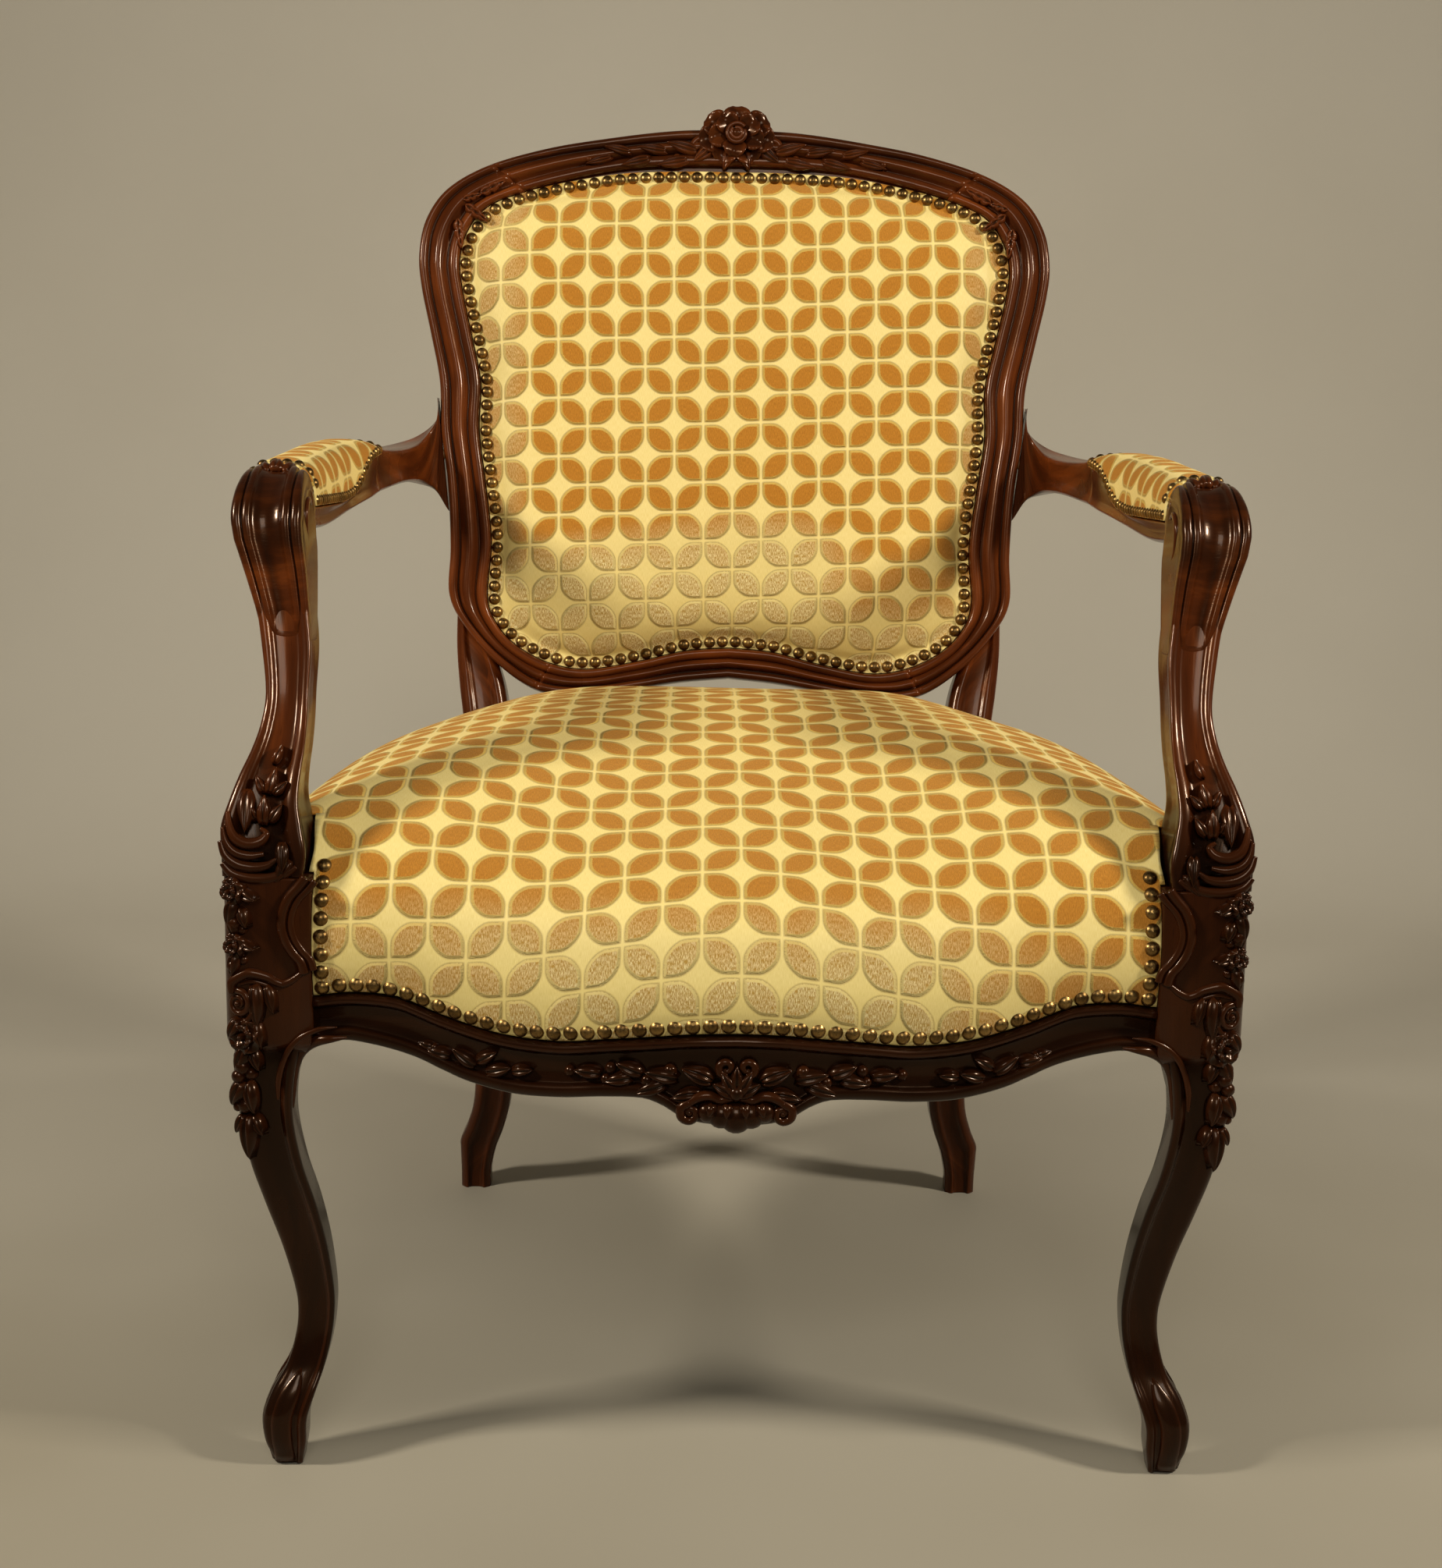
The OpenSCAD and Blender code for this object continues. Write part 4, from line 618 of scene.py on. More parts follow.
# Height, how far out to the corner, and thickness
LEG_ROWS = [
    [300, 0, BLOCK - 6], [284, 2.2, 44], [268, 4.5, 40.5], [240, 4.2, 35.5], [208, -0.4, 35],
    [177, -8, 34.5], [146, -15, 31], [114, 0.5 - ANKLE_IN, ANKLE_W + 1.8],
    [96, -ANKLE_IN, ANKLE_W], [80, 2 - ANKLE_IN, ANKLE_W], [64, -14.3, 26], [50, -8, 29.5],
    [34, -3, 30], [18, -3, 28], [6, -4, FOOT_W + 3.5], [1.5, -4.3, FOOT_W + 1.5],
    [0, -4.5, FOOT_W - 1.5]]
LEG_SIDE = [[-1, 0.70], [-1, 0.88], [-0.92, 1], [-0.74, 1], [-0.62, 0.88], [-0.56, 0.84],
            [-0.2, 0.83], [0.25, 0.88], [0.62, 0.93]]
LEG_FINE = soften([[-0.55, -0.96], [-0.96, -0.55]] + LEG_SIDE + [[0.83, 0.83]]
                  + [[b, a] for a, b in LEG_SIDE[::-1]], 0.16, 4)
FACE_Y = BLOCK_Y - BLOCK / 2
# The block's face turns into the knee's between these heights
KNEE_LOW, KNEE_TOP = 276, 306
BLOCK_FACE = frame_of([0, FACE_Y, 0], [1, 0, 0], [0, -1, 0])


def down_rows(rows, count):
    """A table's rows made finer by its smooth curve."""
    return curve(rows, np.linspace(0, len(rows) - 1, count))


def leg_rings():
    z, out, width = down_rows(LEG_ROWS, 110).T[..., None]
    return stack(BLOCK_X + out + LEG_FINE[:, 0] * width / 2,
                 BLOCK_Y - out - LEG_FINE[:, 1] * width / 2, z)


def knee_frame(x, z, turn=-90.0, corner=0.5, lift=0.0):
    """On the face of the block or knee, near its outer corner: x turned by an angle, z out."""
    y = FACE_Y
    if z < KNEE_TOP:
        r = at(LEG_ROWS, z)
        k = smooth(z, KNEE_LOW, KNEE_TOP)
        y = y * k + (BLOCK_Y - r[1] - 0.93 * r[2] / 2) * (1 - k)
        x = x + (r[1] * 0.5 - 1) * (1 - k)
    n = unit([corner, -1, 0])
    return frame_of(arr([x, y, z]) + n * lift, way(turn, unit([1, corner, 0])), n)


def knee_carving(s):
    """Buds down the block, a scroll under its bead, and a flower, berries and husks on the knee."""
    face = frame_of([0, FACE_Y - 0.2, 0], [1, 0, 0], [0, -1, 0])
    wave = [[310.5, 320], [310, 326.5], [305, 330.6], [298.6, 332.7], [288.6, 330.4], [283, 327.4],
            [278.4, 326.3], [273, 328.6], [267.5, 333]]
    scroll(s, face, wave, [2.0, 3.0, 3.4, 3.4, 3.0, 2.7, 2.5, 2.3, 1.6], 0.9, 9)
    low = [[305, 325.5], [297.5, 327.4], [288.5, 325.2], [282, 321]]
    scroll(s, face, low, [1.0, 1.6, 1.5, 0.9], 0.8, 8)
    eye = knee_frame(306, 313.5, 0)
    scroll(s, eye, spiral(0, 0, 8.5, 1.2, 75, 1.5, 13), np.linspace(2.3, 1.3, 13), 0.9, 9)
    knob(s, eye, 2.4, 3.4, 10, 5, 2)
    lip = [[-9, 2], [-5, -4], [1, -6], [7, -4]]
    scroll(s, knee_frame(305, 307, 0), lip, [1.2, 2.2, 2.2, 1.2], 0.9, 8)
    for x, z, turn, L, W, H in ((296, 324, -98, 26, 13, 6), (288.5, 324, -112, 17, 9, 4),
                                (306, 303, -62, 14, 11, 6), (297, 302, -116, 17, 11, 5),
                                (303, 284, -70, 17, 12, 6), (299, 284, -118, 15, 9, 5),
                                (304, 262, -66, 17, 13, 6.5), (300, 262, -106, 20, 11, 6),
                                (301.5, 239, -95, 27, 14, 7), (304, 240, -66, 13, 9, 5),
                                (298, 240, -126, 14, 9, 5)):
        pod(s, knee_frame(x, z, turn, 0.55), L, W, H, curl=1.0)
    blossom(s, knee_frame(302, 293, 0, 0.55, 0.6), 12, 6)
    knobs(s, lambda x, z: knee_frame(x, z, 0, 0.55),
          ((304, 272, 5.2), (299, 268, 4.2), (306.5, 266, 4.6), (303, 247, 5.2), (299, 279.5, 3.2),
           (307, 279, 3.4), (307.5, 246, 3.2)))
    # The buds beside the nails of the seat
    for x, z, r in ((308.5, 384, 8.5), (307.5, 350, 8)):
        blossom(s, knee_frame(x, z, 20, 0.7), r, 5)
    pods(s, lambda x, z, turn: knee_frame(x, z, turn, 0.7),
         ((303, 383, 195, 13, 9), (309, 377, -82, 16, 11), (304, 373, -120, 13, 8),
          (308, 344, -85, 14, 10), (303, 351, 190, 12, 8), (308, 358, 84, 11, 8)), 4.5, curl=0.8)
    knobs(s, lambda x, z: knee_frame(x, z, 0, 0.7),
          ((308.5, 364, 4.8), (303.5, 360, 3.2), (309.5, 337, 4.2), (303, 341, 3)), 0.8)


def toe_shields(s):
    """The toe's rounded shields, on the front and on the side."""
    rows = []
    a = np.linspace(-1, 1, 11)
    for t in np.linspace(0, 1, 15):
        z = 63 - 60 * t
        r = at(LEG_ROWS, z)
        w = 7.6 * math.sin(math.pi / 2 * min(1, t * 3.2 + 0.05)) * (1 - 0.12 * t)
        x = r[1] + 1.5 + np.concatenate([a, [0.8, -0.8]]) * w
        d = np.concatenate([2.6 * np.sqrt(1 - a * a * 0.99) * min(1, 0.3 + 3 * t), [-4, -4]])
        rows.append(stack(x, r[1] + 0.84 * r[2] / 2 + d, z))
    x, d, z = np.moveaxis(arr(rows), -1, 0)
    loft(s, stack(BLOCK_X + x, BLOCK_Y - d, z))
    loft(s, stack(BLOCK_X + d, BLOCK_Y - x, z))


def corner_post(s):
    """The square block, which runs out into the knee."""
    b, r = BLOCK / 2, 12
    a = np.linspace(0, -np.pi / 2, 7)
    rounded = stack(b - r + r * np.cos(a), r - b + r * np.sin(a))
    o = np.concatenate([rounded, [[-b, -b], [-b, b], [b, b]]])
    loft(s, [stack(BLOCK_X + o[:, 0] * k, BLOCK_Y + o[:, 1] * k, z) for z, k in (
        (258, 0.45), (264, 0.5), (270, 0.56), (276, 0.66), (280, 0.77), (283, 0.88), (286, 0.96),
        (289, 0.995), (322, 1.0), (BLOCK_TOP - 1.2, 1.0), (BLOCK_TOP - 0.3, 0.994),
        (BLOCK_TOP, 0.975))])
    # A double bead that bows away from the column of nails
    bow = arr([[264, 393], [268, 387.7], [274.5, 380], [278.2, 371], [279, 362], [276.5, 353],
               [272, 345.5], [267.5, 340], [265.5, 333]])
    scroll(s, BLOCK_FACE, bow, np.full(9, 3.1), 0.85, 9)
    scroll(s, BLOCK_FACE, (bow - [272, 363]) * [1, 0.93] + [266.3, 363], np.full(9, 2.3), 0.85, 8)
    # The lower bead of the rail turns down into the inner edge of the leg, with a crease outside it
    bead = [[240, 292.6], [250, 291.4], [258, 289.6], [264.5, 286], [269.8, 280.6], [273.6, 273],
            [275.6, 264], [276.6, 254], [276.8, 244]]
    scroll(s, BLOCK_FACE, [[x, z, min(-0.6, (251 - x) * 0.4 - 0.6)] for x, z in bead],
           [0.8, 2.4, 3.4, 3.5, 3.5, 3.5, 3.5, 3.2, 2.0], 0.9, 9)
    crease = [[246, 299], [257, 297.4], [268, 292.4], [275.4, 285], [280, 275.4], [282.6, 264],
              [283, 252]]
    scroll(s, BLOCK_FACE, [[x, z, -0.8] for x, z in crease], [0.4, 1.6, 2.0, 2.0, 2.0, 1.8, 0.8],
           0.9, 8)
    for y, z, rise, L, W, H, lobes, curl in ((6, 330, -0.3, 22, 12, 3.5, 3, 2),
                                             (-6, 336, 0.4, 18, 10, 3, 2, 0)):
        f = frame_of([BLOCK_X + b, BLOCK_Y + y, z], [0, 1, rise], [1, 0, 0])
        leaf(s, f, L, W, H, lobes, curl)


def front_leg():
    s = Shape()
    loft(s, leg_rings())
    corner_post(s)
    knee_carving(s)
    toe_shields(s)
    return s


# Rails

# Across, the nails' height over NAIL_Z, and the lower edge
FRONT_ROWS = [[0, 0, 253], [16, -0.5, 253], [32, -1.5, 256], [44, -3, 263], [56, -4.5, 267],
              [80, -7.5, 266], [106, -11, 263], [132, -11, 262], [150, -9, 264], [168, -5, 268],
              [184, -0.5, 274], [196, 4, 279], [208, 8, 282.5], [222, 9.5, 285.5],
              [242, 9.5, 288], [RAIL_END, 7, 285]]
# The same for the side, by share of the way back
SIDE_ROWS = [[0, 9.5, 285], [0.12, 9, 286], [0.25, 8, 279], [0.4, 7, 271], [0.55, 7, 268],
             [0.7, 7, 270], [0.85, 8, 277], [1, 9, 283]]


def front_y(x):
    return FRONT_FACE - FRONT_BOW * (0.5 + 0.5 * np.cos(np.pi * np.abs(x) / RAIL_END))


def front_nail(x):
    return NAIL_Z + at(FRONT_ROWS, np.abs(x))[..., 1]


def rail_profile(z, l, top):
    """The rail's section: how far in from its face, and height."""
    return [[RAIL_T, RAIL_TOP]] + top + [
        [0, z - 1], [-3.4, z - 1.6], [-5.8, z - 3.4], [-5.8, z - 6], [-4.2, z - 7.6],
        [-1.4, z - 8.4], [-0.4, z - 11], [0.6, (z - 11 + l + 9) / 2], [-0.4, l + 11],
        [-1.2, l + 9.4], [-4.2, l + 8.6], [-5.4, l + 6.2], [-5.0, l + 3.4], [-2.5, l + 0.6],
        [8, l], [12, RAIL_LOW], [RAIL_T, RAIL_LOW]]


def front_rail():
    s = Shape()
    rows = []
    for x in np.linspace(-RAIL_END, RAIL_END, 121):
        z, l = float(front_nail(x)) - NAIL_D / 2, float(at(FRONT_ROWS, abs(x))[2])
        p = soften(rail_profile(z, l, [[16, RAIL_TOP], [0, RAIL_TOP - 34]]), 1.8, 3)
        rows.append(stack(x, front_y(x) + p[:, 0], np.minimum(p[:, 1], RAIL_TOP)))
    loft(s, rows)
    apron_carving(s)
    return s


def on_rail(x, z, lift=0.0, turn=0.0):
    """On the front face of the rail: x to the sitter's left turned by an angle, z out of it."""
    slope = float(front_y(x + 1) - front_y(x - 1)) / 2
    return frame_of([x, float(front_y(x)) - lift, z], way(turn, unit([1, slope, 0])),
                    unit([slope, -1, 0]))


def apron_carving(s):
    """A wide shell of lobes above and below a wave, with leaves and berries at each side."""
    for a in (28, 58, 90, 122, 152):
        pod(s, on_rail(0, 272, 1.5, a), 19 - 2 * abs(a - 90) / 60, 12, 7, curl=1.5)
    for x, z, r in ((-17, 261.5, 7), (-9, 259.5, 8.5), (0, 258, 10), (9, 259.5, 8.5),
                    (17, 261.5, 7)):
        knob(s, on_rail(x, z, 1.0), r, 7.5, 18, 8)
    for x in (-14, -5, 5, 14):
        pod(s, on_rail(x, 267, 4.5, 270 + x * 1.5), 10, 8, 5, 1)
    wave = [[-31, 265], [-25, 270], [-17, 272], [-9, 269.5], [0, 272.5], [9, 269.5], [17, 272],
            [25, 270], [31, 265]]
    scroll(s, on_rail(0, 0, 3.5), wave, [2.4, 3.2, 3.2, 2.8, 3.4, 2.8, 3.2, 3.2, 2.4], 1.0, 9)
    knob(s, on_rail(0, 274, 4.5), 5, 4.5, 14, 8)
    for g in (-1, 1):
        def spot(x, z, turn, lift=0.6):
            return on_rail(g * x, z, lift, turned(g, turn))
        # A curl at each end of the wave, and one at the shell's top
        end = spiral(g * 28, 261, 6.6, 1.0, 90, -g * 1.3)
        top = spiral(g * 6.4, 289, 5.2, 0.9, -90, g * 1.2)
        scroll(s, on_rail(0, 0, 3.0), end, np.linspace(3.2, 1.9, 9), 1.1, 9)
        knob(s, on_rail(g * 28, 261, 3), 2.8, 4)
        scroll(s, on_rail(0, 0, 2.8), top, np.linspace(2.7, 1.6, 9), 1.0, 8)
        pod(s, spot(15, 281, 22, 1.5), 20, 13, 6.5, 3, curl=1.5)
        pod(s, spot(22, 272, -8, 1.5), 18, 12, 6, 3, curl=1.5)
        # Leaves and berries along the rail, and a sprig near each knee
        pods(s, spot, ((36, 281, 10, 20, 12), (43, 277, -18, 20, 12), (57, 283, 20, 17, 11),
                       (63, 280, -10, 18, 11), (82, 281, 4, 17, 10)), 6)
        knobs(s, lambda x, z: on_rail(g * x, z, 1.5),
              ((40, 286, 4), (54, 279, 3.8), (76, 285, 3.6), (79, 278, 3.2), (101, 281, 3.4)))
        pods(s, spot, ((152, 275, 165, 17, 11), (160, 278, 35, 18, 11), (158, 281, 150, 15, 10),
                       (176, 283, 12, 15, 10), (136, 277, 170, 14, 9)), 5.5)
        pod(s, spot(186, 287.5, 12), 11, 7, 4)
        knob(s, on_rail(g * 186, 287, 0.8), 3.2, 3)


def side_x(u):
    a, b = SEAT_W / 2 - 4, STILE_X + STILE_W / 2 - 3
    return a + (b - a) * arr(u) + SIDE_BOW * np.sin(np.pi * arr(u))


def side_nail(u):
    return NAIL_Z + at(SIDE_ROWS, np.clip(u, 0, 1))[..., 1]


def side_rail():
    rows = []
    for u in np.linspace(0, 1, 61):
        z, l = float(side_nail(u)) - NAIL_D / 2, float(at(SIDE_ROWS, u)[2])
        p = soften(rail_profile(z, l, [[4, RAIL_TOP], [0, RAIL_TOP - 5]]), 1.8, 3)
        rows.append(stack(side_x(u) - p[:, 0], SIDE_FRONT + (SIDE_BACK - SIDE_FRONT) * u, p[:, 1]))
    return loft(Shape(), rows)


# Rear legs

# Height, out, back, width, depth
STILE_ROWS = [
    [0, 15.5, REAR_KICK, REAR_FOOT_W, 27], [16, 15.5, REAR_KICK, REAR_FOOT_W + 0.5, 28],
    [36, 13.5, REAR_KICK - 2, 31, 33], [46, 11.5, REAR_KICK - 4, 34, 34],
    [62, 5.5, REAR_KICK - 10, 33, 33], [90, -1, REAR_KICK - 19, 32, 33],
    [150, -5, REAR_KICK - 34, 34, 35], [220, -3, 6, STILE_W - 3, STILE_D - 3],
    [282, 0, 0, STILE_W - 3, STILE_D - 2], [360, 0, 0, STILE_W - 3, STILE_D - 2],
    [420, 1.5, 4, STILE_W - 2, STILE_D - 6], [455, 6, 9, 38, 28], [488, 13, 13, 30, 22],
    [520, 18, 16, 20, 18]]


def stile_rings():
    out = []
    for z, x, y, width, depth in down_rows(STILE_ROWS, 100):
        w, d = width / 2, depth / 2
        p = soften([[w - 5, -d], [w, 5 - d], [w, 0], [w, d - 5], [w - 5, d], [0, d], [5 - w, d],
                    [-w, d - 5], [-w, 0], [-w, 5 - d], [5 - w, -d], [-w * 0.5, -d],
                    [-w * 0.36, 2.6 - d], [w * 0.36, 2.6 - d], [w * 0.5, -d]], 2.2, 3)
        out.append(stack(STILE_X + x + p[:, 0], STILE_Y + y + p[:, 1], z))
    return out


def leg_block(s):
    """The square part of the rear leg that takes the rails, with softened edges."""
    soft, low, high = 1.2, 282, RAIL_TOP + 4
    square = arr([[-1, -1], [1, -1], [1, 1], [-1, 1]])
    rows = []
    for z, k in ((low, soft), (low + soft, 0), (high - soft, 0), (high, soft)):
        p = soften(square * [STILE_W / 2 - k, STILE_D / 2 - k], 1.5, 3)
        rows.append(stack(STILE_X + p[:, 0], STILE_Y + p[:, 1], z))
    return loft(s, rows)


def rear_leg():
    s = Shape()
    loft(s, stile_rings())
    band(s, JOINT_LOW, JOINT_TOP)
    leg_block(s)
    # The spray of leaves at the shoulder
    for x, up, turn, L, W in ((226, 392, 215, 22, 10), (228, 396, 160, 16, 8),
                              (214, 402, 150, 24, 10), (232, 380, 262, 24, 10)):
        leaf(s, back_frame(x, up, 1.2, turn), L, W, 4, curl=1.5)
    return s


def back_frame(x, s, n, turn=0.0):
    """On the face of the back frame: x turned by an angle in its plane, z out of it."""
    ex = unit(at_back(x + 1, s, n) - at_back(x - 1, s, n))
    ey = unit(at_back(x, s + 1, n) - at_back(x, s - 1, n))
    return frame_of(at_back(x, s, n), way(turn, ex, ey), np.cross(ex, ey))


def crest_rail():
    s = Shape()
    ts = np.concatenate([np.linspace(JOINT_TOP, RING, 37), -np.linspace(RING, JOINT_TOP, 37)[1:]])
    P = arr(ring_sections(ts))
    # The crest's moulding widens towards the middle
    inner = P[:, np.argmin(P[:, :, 2].mean(0))][:, None]
    grow = 0.2 * smooth(-np.abs(P[..., 0]), -200, -15)[..., None]
    loft(s, P + (P - inner) * grow * [0, np.tan(RAKE), 1])
    rose(s, BACK_H + 2)
    for g in (-1, 1):
        crest_spray(s, g, BACK_H + 2)
    return s


def rose(s, top):
    """A hub, outer petals, inner petals and a bud."""
    for dx in (-12, 0, 12):
        knob(s, back_frame(dx, top + 1, -7), 15, 14, 18, 6, 1)
    for rx, rz, count, lift, size, turn in ((14, 8, 7, 2.5, 20, 0), (8, 4.5, 5, 7, 17, 30)):
        for i in range(count):
            a = math.radians(360 * i / count + turn + 90)
            dx, dz = rx * math.cos(a), rz * math.sin(a)
            f = back_frame(dx, top + dz, lift, math.degrees(math.atan2(dz * 1.3, dx)))
            petal(s, f, size * (0.95 - 0.1 * abs(math.sin(a))), size * 1.2, 6, 0.8)
    for k, r in enumerate((8.5, 5)):
        ring = spiral(0, 0, r, r * 0.8, 40 + 90 * k, 0.95, 13)
        scroll(s, back_frame(0, top + 0.5, 11 + k), ring, np.full(13, 1.9), 1.0, 8)
    knob(s, back_frame(0, top + 0.5, 10), 4, 4.5, 12, 6)


def crest_spray(s, g, top):
    """Volutes, leaves and berries under one side of the rose."""
    v = np.concatenate([spiral(g * 30, -10, 8, 1.2, 100, -g * 1.4)[::-1],
                        [[g * 20, -2], [g * 10, -6], [g * 3, -16]]])
    scroll(s, back_frame(0, top, 2.2), v, np.linspace(1.5, 3.2, len(v)), 1.0, 9)

    def spot(x, up, turn, lift=3.0):
        return back_frame(g * x, up, lift, turned(g, turn))
    pod(s, spot(5, top - 11, -72, 2), 19, 13, 6, curl=1.5)
    pod(s, spot(19, top - 9, -38, 2), 22, 13, 6, 3, curl=1.5)
    pods(s, spot, ((34, 446, 14, 26, 12), (42, 438, -12, 26, 11), (60, 445, 6, 24, 10),
                   (74, 438, -16, 24, 10), (90, 443, 10, 22, 9), (106, 438, -18, 22, 8)), 4.5, 3)
    knobs(s, lambda x, up: back_frame(g * x, up, 2),
          ((50, 440, 3.4), (68, 447, 3.0), (84, 437, 3.2), (100, 444, 2.8), (124, 436, 2.4)), 1)


def back_lower_rail():
    return band(Shape(), -JOINT_LOW, JOINT_LOW, 12)


# Arms and supports

KX, KY = BLOCK_X + KNUCKLE_OUT, BLOCK_Y + KNUCKLE_BACK
ARM_FRONT = KY + KNUCKLE_R - 5
PAD_FRONT = ARM_FRONT + 1.5
PAD_REAR = PAD_FRONT + PAD_L
PAD_LINE = arr([[PAD_FRONT, 614], [-45, 614.5], [-10, 618], [8, 625], [23, 636], [38, 642.5],
                [55, 645.5], [PAD_REAR, 647]])
# Across, back, top, bottom, thickness, turn, and 1 where the pad lies
ARM_ROWS = arr([
    [0.6, 0, 694, 600, 15, 90, 0], [7, -1, 675, 616, 17, 82, 0], [18, -8, 662, 622, 22, 58, 0],
    [29, -30, 655, 624.5, 28, 28, 0], [39, -80, 651, 623.5, 34, 12, 0],
    [47, 0, 651, 619, 38, 9, 0], [50, 0, 654, 617, 41, 8, 0], [51, 0, 653.5, 616, 41.5, 7, 0],
    [51.4, 0, 651, 615.5, 42, 7, 1], [52.5, 0, 648.5, 613, 42.5, 6, 1], [56, 0, 643, 609, 43, 5, 1],
    [59, 0, 640, 605, 43, 3, 1], [0, 0, 633, 598.5, 44, 0, 1], [0, 0, 629, 599, 43, 0, 1]])
# The arm starts at the outer edge of the back frame and ends at the knuckle
ARM_START = at_back(*ring_row(9.6)[:2], -11)
ARM_ROWS[:, 0] += ARM_START[0]
ARM_ROWS[:5, 1] += ARM_START[1]
ARM_ROWS[5:, 1] = [PAD_REAR + 34, PAD_REAR + 9, PAD_REAR + 5, PAD_REAR + 2, 48, 12, -20,
                   ARM_FRONT + 60, ARM_FRONT]
ARM_ROWS[12:, 0] = KX
ARM_RUN = ring_row(10.6) - ring_row(8.8)
ARM_LEAN = ARM_RUN[0] / ARM_RUN[1] / math.cos(RAKE)


def pad_low(y):
    """Height of the pad's lower edge along the arm."""
    return float(at(PAD_LINE, np.clip(y, PAD_FRONT, PAD_REAR))[1])


def arm_ring(t):
    x, y, top, low, thick, turn, padded = curve(ARM_ROWS, t)
    h, m, k, a = thick / 2, (top + low) / 2, float(np.clip(padded, 0, 1)), math.radians(turn)
    line, cut = pad_low(y), k * REBATE
    half = [[0.8 * h, low], [h, low + 2.5], [0.95 * h, low + 6], [0.9 * h, low + 8],
            [(0.87 + 0.1 * k) * h, (m - 3) * (1 - k) + (line - 1.5) * k],
            [0.87 * (1 - k) * h + k * (h - cut), (m + 3) * (1 - k) + (line - 0.5) * k],
            [h - cut, top - 3], [0.9 * h - cut, top], [0.5 * h, top - 0.8 * (1 - k)]]
    p = soften(half + [[0, top - 1 + k]] + [[-q, z] for q, z in half[::-1]], 1.5, 3)
    across, up = p.T
    lean = ARM_LEAN * max(0.0, 1 - t)
    return stack(x + across * math.cos(a) + lean * (up - m), y + across * math.sin(a), up)


def arm():
    return loft(Shape(), [arm_ring(t) for t in np.linspace(0, len(ARM_ROWS) - 1, 170)])


# Height, out, back, width, depth
SUPPORT_ROWS = arr([
    [BLOCK_TOP + GAP, 2, 0, 50, 50], [407, 1.5, 1, 52, 50], [422, 3.5, 4, 50, 47],
    [437, 3, 8, 43, 43], [452, 0.5, 14, 38, 39], [467, -3, 22, 33, 36],
    [482, -5, 31, 29, 35], [500, -5.5, 40, WAIST_W, 35], [527, -3.5, 51, WAIST_W + 4, 36],
    [552, 0.5, 60, 33, 38], [574, 5, 67, 38, 42], [594, 9.5, 73, 41, 44], [606, 11, 77, 42, 40]])
SUPPORT_SECTION = [
    [-1, -1], [-0.82, -1.02], [-0.62, -0.94], [-0.5, -0.76], [0, -0.72], [0.5, -0.76],
    [0.62, -0.94], [0.82, -1.02], [1, -0.92], [1, -0.7], [0.86, -0.5], [0.8, 0.1], [0.86, 0.62],
    [1, 0.8], [0.9, 1], [0, 0.94], [-0.9, 1], [-1, 0.8], [-0.93, 0.3], [-0.93, -0.5]]
# Folds that curl round the foot of the support: places across and up its front, and radii
FOLDS = (
    ([[313, 431], [311, 422], [307, 415.5], [300, 412.4], [292.5, 414], [289, 418.5],
      [292.5, 421.5]], [1.6, 2.8, 3.6, 3.8, 3.2, 2.2, 1.2]),
    ([[315.5, 422], [313, 413.5], [307.5, 407.5], [299, 405.2], [290, 406.5]],
     [1.6, 2.6, 3.0, 2.8, 1.4]),
    ([[316.5, 414], [313, 405.5], [306, 400], [297, 398.2], [288, 399.5], [282, 403.5]],
     [2.0, 3.0, 3.6, 3.4, 2.6, 1.4]),
    ([[315, 401], [309, 394.5], [299, 391.5], [288, 391.5], [277, 394.5], [270, 399]],
     [2.2, 3.4, 3.8, 3.6, 3.0, 1.6]))
# The folds go on round the outer side: places back and up
SIDE_FOLDS = (
    ([[-20, 424], [-12, 413], [-2, 410], [8, 415], [12, 423]], [1.6, 2.8, 3.2, 2.6, 1.2]),
    ([[-22, 414], [-13, 403], [-2, 400], [10, 404], [17, 412]], [1.8, 2.8, 3.2, 2.6, 1.2]))


def up_support(z):
    """The way up the front of the support."""
    (_, x0, y0, _, d0), (_, x1, y1, _, d1) = at(SUPPORT_ROWS, z), at(SUPPORT_ROWS, z + 4)
    return unit([x1 - x0, y1 - y0 - (d1 - d0) * 0.4, 4])


def front_of_support(z):
    """The depth at which its front face lies."""
    r = at(SUPPORT_ROWS, max(z, BLOCK_TOP + GAP))
    return BLOCK_Y + r[2] - r[4] / 2 * 0.96


